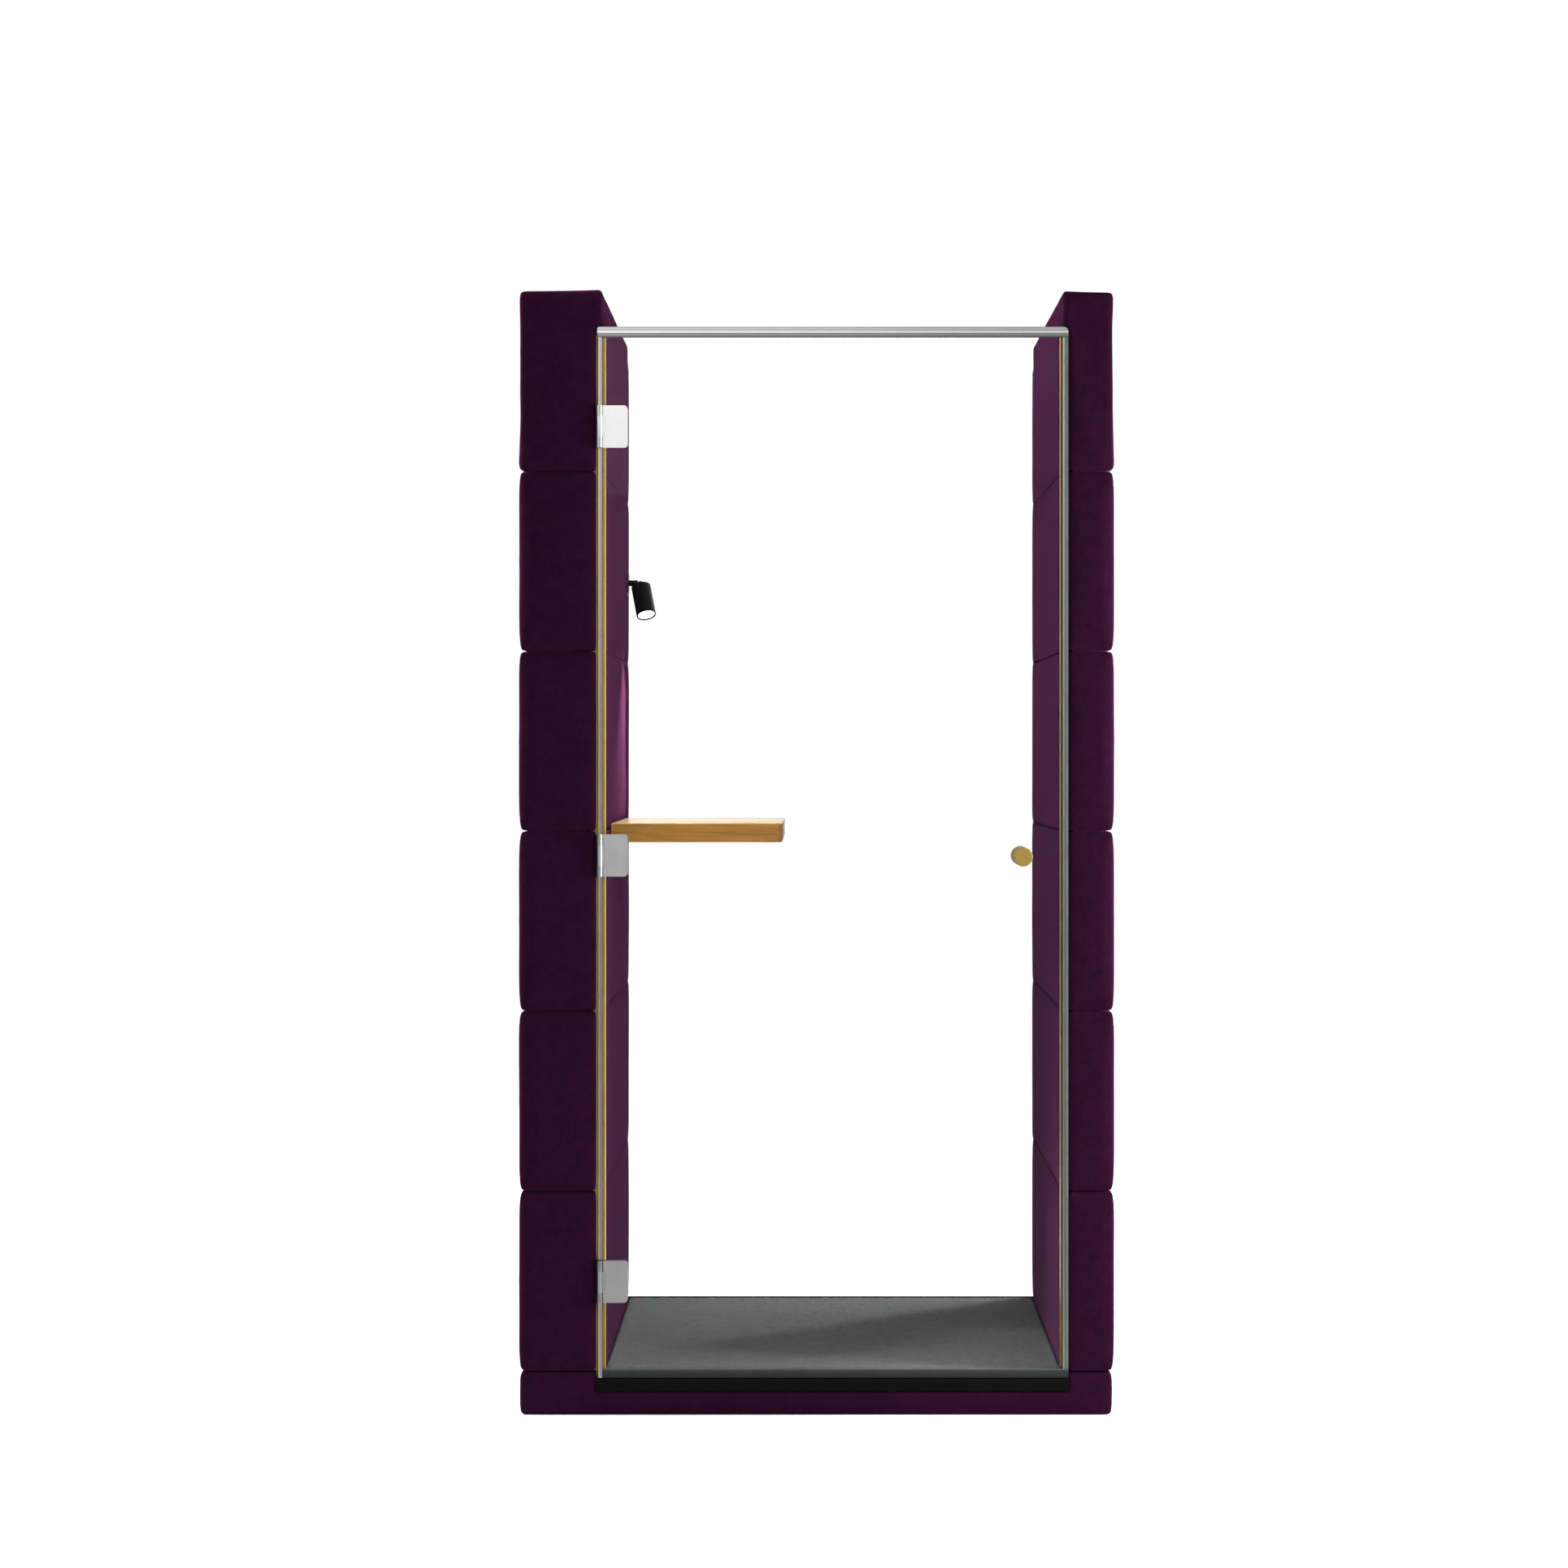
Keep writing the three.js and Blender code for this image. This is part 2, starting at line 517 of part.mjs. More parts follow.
const rear = new THREE.Group();
booth.add(rear);
const paneX = [PANE_LEFT[0] + PANE_EDGE, PANE_RIGHT[1] - PANE_EDGE];
part(rear, "rear_glass", block(paneX, PANE_Y, [PANE_BOTTOM, LEAF_TOP - FIT]), GLASS);
const channel = block(SILL_X, CHANNEL_Y, [SILL_BOTTOM + FIT, CARPET_TOP]);
const channelGroove = block(widened(paneX, FIT), PANE_GROOVE, [PANE_BOTTOM - FIT, CARPET_TOP + 1]);
part(rear, "rear_channel", cut(channel, channelGroove), BLACK_METAL);
const paneSideZ = [CARPET_TOP + FIT, LEAF_TOP];
const leftGroove = [paneX[0] - FIT, PANE_LEFT[1] + 1];
const rightGroove = [PANE_RIGHT[0] - 1, paneX[1] + FIT];
const paneSide = (across, groove) => edgeProfile(across, paneSideZ, groove, CHANNEL_Y, PANE_GROOVE);
part(rear, "rear_left_profile", paneSide(PANE_LEFT, leftGroove), SATIN);
part(rear, "rear_right_profile", paneSide(PANE_RIGHT, rightGroove), SATIN);

// ---- Table ----
const TABLE_X = [LEFT_IN + FIT, LEFT_IN + TABLE_REACH];

function tableTop() {
  const outline = roundedRect(TABLE_X, [TABLE_FRONT, TABLE_BACK], [0, TABLE_CORNER, TABLE_CORNER, 0]);
  const slab = raiseRounded(outline, [TABLE_TOP - TABLE_THICKNESS, TABLE_TOP], 1.5, 1.5, 1);
  return cut(slab, ...ROD_YS.map((y) => rodAt(y, ROD_RADIUS + FIT, [LEFT_IN - 1, ROD_X[1] + FIT])));
}

const table = new THREE.Group();
booth.add(table);
part(table, "table_top", tableTop(), OAK);
["front", "back"].forEach((place, i) => {
  part(table, `table_rod_${place}`, rodAt(ROD_YS[i], ROD_RADIUS, ROD_X), STEEL);
});

// ---- Lamp ----
const ARM_SPIGOT = 5;
const PLATE_X = LEFT_IN + FIT - LAMP_ARM.x; // the plate's back, from the pin
const PLATE_FACE = PLATE_X + LAMP_PLATE_THICKNESS;
const EYE_HALF = 3; // half width of the arm's eye
const EYE_RADIUS = 4.5;
const PIVOT_RADIUS = 2;
const ALONG_X = Math.PI / 2;

function lampPlate() {
  const edge = 1.5;
  const profile = [[0, 0], [LAMP_PLATE_RADIUS, 0], [LAMP_PLATE_RADIUS, LAMP_PLATE_THICKNESS - edge],
    [LAMP_PLATE_RADIUS - edge, LAMP_PLATE_THICKNESS], [0, LAMP_PLATE_THICKNESS]];
  const disc = turned(profile).rotateY(ALONG_X).translate(PLATE_X, 0, 0);
  const bore = bar(ARM_SPIGOT + 0.1, [PLATE_X + 2, PLATE_FACE + 1]).rotateY(ALONG_X);
  return cut(disc, bore);
}

// The arm runs along X from the plate and ends in a flat eye around the tilt pin.
function lampArm() {
  const shoulder = -EYE_RADIUS - 1;
  const spigot = bar(ARM_SPIGOT, [PLATE_X + 2.3, PLATE_FACE + 1]).rotateY(ALONG_X);
  const rod = bar(ARM_RADIUS, [PLATE_FACE + FIT, shoulder]).rotateY(ALONG_X);
  const eye = bar(EYE_RADIUS, [-EYE_HALF, EYE_HALF]).rotateX(-Math.PI / 2);
  const neck = block([shoulder - 1, 0], [-EYE_HALF, EYE_HALF], [-EYE_RADIUS, EYE_RADIUS]);
  const hole = bar(PIVOT_RADIUS + 0.1, [-EYE_HALF - 1, EYE_HALF + 1]).rotateX(-Math.PI / 2);
  const lowered = [neck, eye, hole].map((piece) => piece.translate(0, 0, -PIN_DROP));
  return cut(join(spigot, rod, lowered[0], lowered[1]), lowered[2]);
}

// The head hangs from two ears. Its body is a tube, open at the mouth, with a solid top.
const HEAD_TOP = -HEAD_DROP;
const HEAD_MOUTH = HEAD_TOP - HEAD_LENGTH;
const HEAD_WALL = 1.6;
const EAR_HALF = 8; // outer half width over the ears

function lampHead() {
  const inner = HEAD_RADIUS - HEAD_WALL;
  const roof = HEAD_TOP - HEAD_ROOF;
  const body = turned([[0, roof], [inner, roof], [inner, HEAD_MOUTH], [HEAD_RADIUS, HEAD_MOUTH],
    [HEAD_RADIUS, HEAD_TOP - 1], [HEAD_RADIUS - 1, HEAD_TOP], [0, HEAD_TOP]]);
  const ears = [[-EAR_HALF, -EYE_HALF - FIT], [EYE_HALF + FIT, EAR_HALF]].flatMap(([y0, y1]) => [
    bar(EYE_RADIUS, [y0, y1]).rotateX(-Math.PI / 2),
    block([-EYE_RADIUS, EYE_RADIUS], [y0, y1], [HEAD_TOP - 1, 0]),
  ]);
  const hole = bar(PIVOT_RADIUS + 0.1, [-EAR_HALF - 1, EAR_HALF + 1]).rotateX(-Math.PI / 2);
  return cut(join(body, ...ears), hole);
}

// A ring between two radii and two heights.
function ring([inner, outer], [z0, z1]) {
  return turned([[inner, z0], [outer, z0], [outer, z1], [inner, z1], [inner, z0]]);
}

const lamp = new THREE.Group();
lamp.position.copy(LAMP_ARM);
booth.add(lamp);
part(lamp, "lamp_wall_plate", lampPlate(), LAMP_BLACK);

const swivel = new THREE.Group();
swivel.rotation.x = -LAMP_SWIVEL;
lamp.add(swivel);
part(swivel, "lamp_arm", lampArm(), LAMP_BLACK);
const pivotPin = bar(PIVOT_RADIUS, [-EAR_HALF, EAR_HALF], 24).rotateX(-Math.PI / 2);
part(swivel, "lamp_pivot_pin", pivotPin.translate(0, 0, -PIN_DROP), STEEL);

const head = new THREE.Group();
head.position.z = -PIN_DROP;
head.rotation.y = -LAMP_TILT;
swivel.add(head);
const bore = HEAD_RADIUS - HEAD_WALL - FIT;
const BEZEL_WIDTH = 1.2;
const LENS_Z = [HEAD_MOUTH + 2, HEAD_MOUTH + 5];
part(head, "lamp_head", lampHead(), LAMP_BLACK);
part(head, "lamp_bezel", ring([bore - BEZEL_WIDTH, bore], [HEAD_MOUTH + 0.5, LENS_Z[1]]), LAMP_BLACK);
part(head, "lamp_lens", bar(bore - BEZEL_WIDTH - FIT, LENS_Z, 32), LENS);
part(head, "lamp_led_module", bar(bore - 1, [LENS_Z[1] + FIT, HEAD_TOP - HEAD_ROOF - FIT], 24), LED);

export default booth;
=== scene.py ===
"""Looks for the acoustic telephone booth: upholstered wall blocks, carpet pile, oak, glass and metal
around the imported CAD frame. Metres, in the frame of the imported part."""
import math

import bpy
import numpy as np
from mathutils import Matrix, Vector
from mathutils.kdtree import KDTree


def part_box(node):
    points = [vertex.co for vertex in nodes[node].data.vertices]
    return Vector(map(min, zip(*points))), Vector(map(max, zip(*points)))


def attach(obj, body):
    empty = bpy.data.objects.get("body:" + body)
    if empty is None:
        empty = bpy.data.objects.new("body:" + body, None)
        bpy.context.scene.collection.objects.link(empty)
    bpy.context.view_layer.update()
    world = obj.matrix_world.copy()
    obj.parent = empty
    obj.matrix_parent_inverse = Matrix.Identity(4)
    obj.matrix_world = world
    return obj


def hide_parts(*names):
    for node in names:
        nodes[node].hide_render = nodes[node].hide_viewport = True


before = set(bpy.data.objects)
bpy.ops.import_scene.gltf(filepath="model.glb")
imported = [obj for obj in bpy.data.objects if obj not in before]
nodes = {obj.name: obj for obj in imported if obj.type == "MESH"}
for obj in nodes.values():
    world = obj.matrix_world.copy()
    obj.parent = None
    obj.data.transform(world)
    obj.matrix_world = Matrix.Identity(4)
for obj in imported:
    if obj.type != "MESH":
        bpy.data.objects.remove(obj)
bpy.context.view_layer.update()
MM = 0.001

# ---------------------------------------------------------------- camera
LENS = 85
CAMERA = Vector((0.0, -7.692, 1.288))
camera_data = bpy.data.cameras.new("camera")
camera_data.lens = LENS
camera_data.sensor_width = 36
camera_data.shift_x = -0.0204
camera_data.shift_y = -0.0202
camera = bpy.data.objects.new("camera", camera_data)
camera.location = CAMERA
camera.rotation_euler = (math.pi / 2, 0, 0)
bpy.context.scene.collection.objects.link(camera)
bpy.context.scene.camera = camera
bpy.context.scene.view_settings.view_transform = "Standard"


# ---------------------------------------------------------------- material helpers
class Tree:
    """One material's nodes, built from sockets and values."""

    def __init__(self, name):
        self.material = bpy.data.materials.new(name)
        self.material.use_nodes = True
        self.nodes = self.material.node_tree.nodes
        self.links = self.material.node_tree.links
        self.shader = self.nodes["Principled BSDF"]
        self.output = self.nodes["Material Output"]

    def node(self, kind, values=None, **settings):
        made = self.nodes.new("ShaderNode" + kind)
        for key, value in settings.items():
            setattr(made, key, value)
        for key, value in (values or {}).items():
            self.feed(made.inputs[key], value)
        return made

    def feed(self, socket, value):
        if isinstance(value, bpy.types.NodeSocket):
            self.links.new(value, socket)
        else:
            socket.default_value = value

    def place(self, kind="Object"):
        return self.node("TexCoord").outputs[kind]

    def maths(self, operation, *values):
        made = self.node("Math", operation=operation)
        for socket, value in zip(made.inputs, values):
            self.feed(socket, value)
        return made.outputs[0]

    def wave(self, along, pitch):
        return self.maths("SINE", self.maths("MULTIPLY", along, 2 * math.pi / pitch))

    def split(self, vector):
        return self.node("SeparateXYZ", {"Vector": vector}).outputs

    def vector(self, x, y, z):
        return self.node("CombineXYZ", {"X": x, "Y": y, "Z": z}).outputs[0]

    def scaled(self, vector, scale):
        return self.node("Mapping", {"Vector": vector, "Scale": scale}).outputs[0]

    def vectors(self, operation, *values):
        """The outputs of a vector math node."""
        return self.node("VectorMath", dict(enumerate(values)), operation=operation).outputs

    def from_joint(self, run):
        """How far a running count of boards is from the middle of a board: 0.5 at a joint."""
        return self.maths("ABSOLUTE", self.maths("SUBTRACT", self.maths("FRACT", run), 0.5))

    def noise(self, vector, scale, detail=4.0, roughness=0.55, distortion=0.0):
        values = {
            "Vector": vector,
            "Scale": scale,
            "Detail": detail,
            "Roughness": roughness,
            "Distortion": distortion,
        }
        return self.node("TexNoise", values).outputs["Fac"]

    def ramp(self, factor, *stops):
        """Stops are (position, grey) or (position, (r, g, b))."""
        made = self.node("ValToRGB", {"Fac": factor})
        elements = made.color_ramp.elements
        while len(elements) < len(stops):
            elements.new(0.5)
        for element, (position, colour) in zip(elements, stops):
            element.position = position
            element.color = (*((colour,) * 3 if np.isscalar(colour) else colour), 1)
        return made.outputs["Color"]

    def mix(self, factor, a, b, blend="MIX"):
        made = self.node("Mix", data_type="RGBA", blend_type=blend)
        for key, value in (("Factor_Float", factor), ("A_Color", a), ("B_Color", b)):
            socket = next(s for s in made.inputs if s.identifier == key)
            if isinstance(value, tuple) and len(value) == 3:
                value = (*value, 1)
            self.feed(socket, value)
        return next(s for s in made.outputs if s.identifier == "Result_Color")

    def banded(self, base, place, bands):
        """Multiplies the base by tones, painted highlights and shade across a section. Each band is (axis,
        low, high, ramp stops).
        """
        for axis, low, high, stops in bands:
            above = self.maths("SUBTRACT", self.split(place)[axis], low)
            run = self.maths("DIVIDE", above, high - low)
            base = self.mix(1.0, base, self.ramp(run, *stops), "MULTIPLY")
        return base

    def bump(self, height, strength, distance, normal=None):
        values = {"Height": height, "Strength": strength, "Distance": distance}
        if normal is not None:
            values["Normal"] = normal
        return self.node("Bump", values).outputs[0]

    def finish(self, **values):
        for key, value in values.items():
            name = key.replace("_", " ").title().replace("Ior", "IOR")
            if isinstance(value, tuple) and len(value) == 3:
                value = (*value, 1)
            self.feed(self.shader.inputs[name], value)
        return self.material


def srgb(red, green, blue):
    """A colour given as 0 to 255 in sRGB, as linear values."""
    return tuple(
        c / 12.92 if c <= 0.04045 else ((c + 0.055) / 1.055) ** 2.4
        for c in (red / 255, green / 255, blue / 255)
    )


# ---------------------------------------------------------------- materials
RIB_PITCH = 3.4 * MM  # of the cover's weave
YARN_PITCH = 1.7 * MM
PLY = 2.8 * MM  # two layers of plywood
GLUE_LINE = 0.2 * MM  # half the width of the line between two staves
RING_PITCH = 2.3 * MM  # of the growth rings on the knob
RING_OFFSET = Vector((-12 * MM, 0, -18 * MM))  # from the knob's centre to the centre of its growth rings


def wool_felt():
    """Milled wool with a fine diagonal weave: ribs, yarn noise, a soft mottle and a fibre sheen."""
    t = Tree("wool_felt")
    place = t.place()
    x, y, z = t.split(place)
    diagonal = t.maths("ADD", t.maths("ADD", x, y), z)
    wobble = t.maths("MULTIPLY", t.noise(place, 14, 2), 2.5 * MM)
    ribs = t.wave(t.maths("ADD", diagonal, wobble), RIB_PITCH)
    yarns = t.wave(t.maths("SUBTRACT", x, y), YARN_PITCH)
    weft = t.wave(z, YARN_PITCH)
    crossing = t.maths("MULTIPLY", yarns, weft)
    weave = t.maths("ADD", t.maths("MULTIPLY", ribs, 0.6), t.maths("MULTIPLY", crossing, 0.4))
    fuzz = t.noise(place, 1400, 3, 0.7)
    fibre = t.noise(t.scaled(place, (1, 1, 0.4)), 420, 4, 0.65)
    mottle = t.noise(place, 55, 5, 0.6)
    cloud = t.noise(place, 5, 3, 0.5)
    base = t.ramp(mottle, (0.3, srgb(24, 6, 21)), (0.52, srgb(27, 7, 23)), (0.75, srgb(30, 8, 26)))
    base = t.mix(0.25, base, t.ramp(cloud, (0.3, 0.85), (0.7, 1.15)), "MULTIPLY")
    base = t.mix(0.35, base, t.ramp(weave, (0.0, 0.7), (0.9, 1.25)), "MULTIPLY")
    base = t.mix(0.4, base, t.ramp(fibre, (0.32, 0.6), (0.62, 1.4)), "MULTIPLY")
    height = t.maths("ADD", t.maths("MULTIPLY", weave, 0.3), t.maths("MULTIPLY", fuzz, 0.5))
    normal = t.bump(height, 0.3, 0.4 * MM)
    rough = t.ramp(fuzz, (0.2, 0.82), (0.8, 1.0))
    return t.finish(
        base_color=base,
        roughness=rough,
        normal=normal,
        specular_ior_level=0.0,
        sheen_weight=0.076,
        sheen_roughness=0.35,
        sheen_tint=srgb(240, 132, 214),
    )


def carpet():
    """Needle-punched charcoal carpet: speckled fibres with a nap that catches the light."""
    t = Tree("carpet_pile")
    place = t.place()
    speckle = t.noise(place, 620, 3, 0.8)
    clumps = t.noise(t.scaled(place, (1, 0.35, 1)), 110, 4, 0.6)
    wear = t.noise(t.scaled(place, (1, 0.6, 1)), 4.5, 3, 0.5)
    base = t.ramp(speckle, (0.25, srgb(31, 31, 32)), (0.5, srgb(50, 50, 51)), (0.72, srgb(74, 74, 75)))
    base = t.mix(0.85, base, t.ramp(clumps, (0.3, 0.55), (0.7, 1.4)), "MULTIPLY")
    base = t.mix(0.4, base, t.ramp(wear, (0.3, 0.8), (0.7, 1.2)), "MULTIPLY")
    normal = t.bump(speckle, 0.5, 1.0 * MM)
    normal = t.bump(clumps, 0.35, 1.5 * MM, normal)
    return t.finish(
        base_color=base, roughness=0.97, normal=normal, specular_ior_level=0.15,
        sheen_weight=0.1, sheen_roughness=0.5, sheen_tint=srgb(200, 200, 202),
    )


def oak(name, along, light, dark, staves=None, gloss=0.42, coat=0.08, specular=0.5, top_light_painted=1.0,
        end_shade_painted=1.0):
    """Oiled oak with its grain along one axis.

    staves is (across axis, width, start, block length, first joint). The last two arguments scale the
    tone of a staved board's faces that look up, painted lamp light on the top, and of those that look
    along X, painted shade on the ends; only its upper face has the coat.
    """
    t = Tree(name)
    place = t.place()
    if staves:
        across, width, start, length, first = staves
        axes = t.split(place)
        rows = t.maths("DIVIDE", t.maths("SUBTRACT", axes[across], start), width)
        row = t.maths("FLOOR", rows)
        slide = t.maths("MULTIPLY", t.maths("FRACT", t.maths("MULTIPLY", row, 0.377)), length)
        run = t.maths("DIVIDE", t.maths("ADD", t.maths("SUBTRACT", axes[along], first), slide), length)
        number = t.maths("FLOOR", run)
        pick = t.node("TexWhiteNoise", {"Vector": t.vector(row, number, 0.5)}, noise_dimensions="3D")
        tone = pick.outputs["Value"]
        place = t.vectors("ADD", place, t.vectors("MULTIPLY", pick.outputs["Color"], (0.9, 0.9, 0.9))[0])[0]
        line_row = t.maths("GREATER_THAN", t.from_joint(rows), 0.5 - GLUE_LINE / width)
        line_run = t.maths("GREATER_THAN", t.from_joint(run), 0.5 - GLUE_LINE / length)
        joint = t.maths("MAXIMUM", line_row, line_run)
    stretch = [9.0, 9.0, 9.0]
    stretch[along] = 0.55
    long_way = t.scaled(place, tuple(stretch))
    figure = t.noise(long_way, 3.2, 4, 0.55, 1.1)
    rings = t.maths("FRACT", t.maths("MULTIPLY", figure, 9.0))
    rings = t.ramp(rings, (0.0, 0.4), (0.12, 0.8), (0.8, 1.0), (1.0, 0.5))
    fine = [260.0, 260.0, 260.0]
    fine[along] = 6.0
    pores = t.noise(t.scaled(place, tuple(fine)), 1.0, 3, 0.6)
    pores = t.ramp(pores, (0.33, 0.0), (0.47, 1.0))
    flecks = [90.0, 90.0, 90.0]
    flecks[along] = 3.0
    streak = t.noise(t.scaled(place, tuple(flecks)), 1.0, 4, 0.6)
    base = t.mix(rings, dark, light)
    base = t.mix(0.5, base, t.ramp(streak, (0.3, 0.72), (0.7, 1.25)), "MULTIPLY")
    base = t.mix(0.6, base, t.ramp(pores, (0.0, 0.55), (1.0, 1.05)), "MULTIPLY")
    height = pores
    if staves:
        shades = ((0.0, (0.78, 0.74, 0.68)), (0.5, (1.0, 0.98, 0.95)), (1.0, (1.16, 1.12, 1.04)))
        base = t.mix(0.75, base, t.ramp(tone, *shades), "MULTIPLY")
        base = t.mix(joint, base, tuple(c * 0.75 for c in dark))
        height = t.maths("SUBTRACT", pores, joint)
        facing = t.split(t.place("Normal"))
        # Painted light and shade: faces that look up are brightened as if lit by the lamp, faces that look
        # along X darkened as if in shade.
        up = t.ramp(facing[2], (0.3, 0.0), (0.95, 1.0))
        base = t.mix(up, base, t.mix(1.0, base, top_light_painted, "MULTIPLY"))
        edge = t.ramp(facing[0], (0.6, 0.0), (0.98, 1.0))
        base = t.mix(edge, base, t.mix(1.0, base, end_shade_painted, "MULTIPLY"))
        coat = t.maths("MULTIPLY", up, coat)
    normal = t.bump(height, 0.25, 0.25 * MM)
    rough = t.ramp(pores, (0.0, gloss + 0.25), (1.0, gloss))
    return t.finish(
        base_color=base, roughness=rough, normal=normal, specular_ior_level=specular,
        coat_weight=coat, coat_roughness=0.2,
    )


def knob_oak():
    """A turned knob: end-grain rings on its faces and long grain down its side."""
    t = Tree("oak_knob")
    place = t.place()
    knob_low, knob_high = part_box("knob_outer")
    ring_centre = (knob_low + knob_high) / 2 + RING_OFFSET
    x, _, z = t.split(place)
    flat = t.vector(t.maths("SUBTRACT", x, ring_centre.x), 0.0, t.maths("SUBTRACT", z, ring_centre.z))
    wobble = t.maths("MULTIPLY", t.noise(place, 60, 3), 1.5 * MM)
    distance = t.maths("ADD", t.vectors("LENGTH", flat)["Value"], wobble)
    rings = t.maths("FRACT", t.maths("DIVIDE", distance, RING_PITCH))
    rings = t.ramp(rings, (0.0, 0.62), (0.2, 0.9), (0.85, 1.0), (1.0, 0.68))
    pores = t.ramp(t.noise(t.scaled(place, (1, 0.06, 1)), 1500, 2, 0.6), (0.36, 0.0), (0.5, 1.0))
    base = t.mix(rings, srgb(73, 58, 18), srgb(108, 89, 37))
    base = t.mix(0.3, base, t.ramp(pores, (0.0, 0.6), (1.0, 1.05)), "MULTIPLY")
    base = t.mix(0.35, base, t.ramp(t.noise(place, 120, 4), (0.3, 0.8), (0.7, 1.2)), "MULTIPLY")
    return t.finish(
        base_color=base,
        roughness=t.ramp(pores, (0.0, 0.75), (1.0, 0.5)),
        normal=t.bump(pores, 0.2, 0.2 * MM),
        specular_ior_level=0.2,
    )


def brushed(name, colour, roughness, along, grain=0.35, bands=()):
    """Satin metal with fine lines along one axis, slight blotches and a few scuffs."""
    t = Tree(name)
    place = t.place()
    stretch = [1800.0, 1800.0, 1800.0]
    stretch[along] = 25.0
    lines = t.noise(t.scaled(place, tuple(stretch)), 1.0, 2, 0.6)
    blotch = t.noise(place, 35, 4, 0.6)
    base = t.mix(0.35, colour, t.ramp(blotch, (0.3, 0.82), (0.7, 1.12)), "MULTIPLY")
    base = t.mix(grain * 0.5, base, t.ramp(lines, (0.3, 0.75), (0.7, 1.15)), "MULTIPLY")
    # The bands, where given, paint highlights and shade across the section.
    base = t.banded(base, place, bands)
    rough = t.maths("ADD", t.maths("MULTIPLY", lines, grain * 0.4), t.maths("MULTIPLY", blotch, 0.12))
    rough = t.maths("ADD", rough, roughness - grain * 0.2 - 0.06)
    return t.finish(
        base_color=base, metallic=1.0, roughness=rough, normal=t.bump(lines, 0.12 * grain, 0.1 * MM),
    )


def coated(name, colour, roughness, grain=700, bump=0.18, specular=0.5, bands=()):
    """Powder coat or moulded rubber: an even colour with orange peel, dust and rubbed spots."""
    t = Tree(name)
    place = t.place()
    peel = t.noise(place, grain, 2, 0.5)
    dust = t.noise(place, 24, 5, 0.65)
    base = t.mix(0.6, colour, t.ramp(dust, (0.35, 0.75), (0.7, 1.35)), "MULTIPLY")
    # The bands, where given, paint highlights and shade across the section.
    base = t.banded(base, place, bands)
    rough = t.maths("ADD", t.maths("MULTIPLY", dust, 0.18), roughness - 0.09)
    return t.finish(
        base_color=base, roughness=rough, normal=t.bump(peel, bump, 0.15 * MM), specular_ior_level=specular,
    )


def plywood(name, across, dark=srgb(163, 130, 86), light=srgb(205, 176, 130)):
    """Plywood: layers across one axis on the cut edges, long grain on the faces."""
    t = Tree(name)
    place = t.place()
    axes = t.split(place)
    ply = t.maths("FRACT", t.maths("DIVIDE", axes[across], PLY))
    layers = t.ramp(ply, (0.0, 0.62), (0.08, 1.0), (0.48, 1.0), (0.5, 0.78), (0.98, 0.82))
    grain = t.noise(t.scaled(place, (60, 60, 2.5)), 1.0, 4, 0.6)
    base = t.mix(0.8, t.mix(grain, dark, light), layers, "MULTIPLY")
    return t.finish(base_color=base, roughness=0.68, normal=t.bump(grain, 0.15, 0.3 * MM))


def clear_glass():
    """Clear toughened glass with a faint green body. Lamps shine through it."""
    t = Tree("clear_glass")
    smear = t.noise(t.scaled(t.place(), (1, 1, 0.5)), 3.5, 3, 0.5)
    t.finish(
        base_color=(0.995, 1.0, 0.997), roughness=t.ramp(smear, (0.3, 0.0), (0.8, 0.012)), ior=1.5,
        transmission_weight=1.0, specular_tint=(0.05, 0.05, 0.05),
    )
    through = t.node("BsdfTransparent", {"Color": (0.97, 0.985, 0.975, 1)})
    path = t.node("LightPath")
    shaders = {0: path.outputs["Is Shadow Ray"], 1: t.shader.outputs[0], 2: through.outputs[0]}
    mix = t.node("MixShader", shaders)
    t.feed(t.output.inputs["Surface"], mix.outputs[0])
    return t.material


def lamp_lens():
    t = Tree("lamp_lens")
    prisms = t.node("TexVoronoi", {"Vector": t.place(), "Scale": 700}).outputs["Distance"]
    t.finish(
        base_color=(0.95, 0.93, 0.88), roughness=0.25, normal=t.bump(prisms, 0.5, 0.3 * MM),
        emission_color=srgb(255, 244, 224), emission_strength=6.0,
    )
    return t.material


def led_board():
    t = Tree("led_module")
    dots = t.node("TexVoronoi", {"Vector": t.place(), "Scale": 260}).outputs["Distance"]
    base = t.mix(t.ramp(dots, (0.2, 1.0), (0.35, 0.0)), srgb(236, 232, 214), srgb(247, 214, 92))
    return t.finish(base_color=base, roughness=0.55, normal=t.bump(dots, 0.2, 0.3 * MM))


TABLE_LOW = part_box("table_top")[0]
RAIL_LOW, RAIL_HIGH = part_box("door_top_rail")
PROFILE_LOW, PROFILE_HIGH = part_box("door_hinge_profile")
LATCH_LOW, LATCH_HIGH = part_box("door_latch_profile")
SEAL_LOW, SEAL_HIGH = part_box("door_bottom_seal")
HINGE_LOW = sum(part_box("hinge_bottom_pin"), Vector()) / 2  # the middles of the lowest and highest hinge
HINGE_HIGH = sum(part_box("hinge_top_pin"), Vector()) / 2

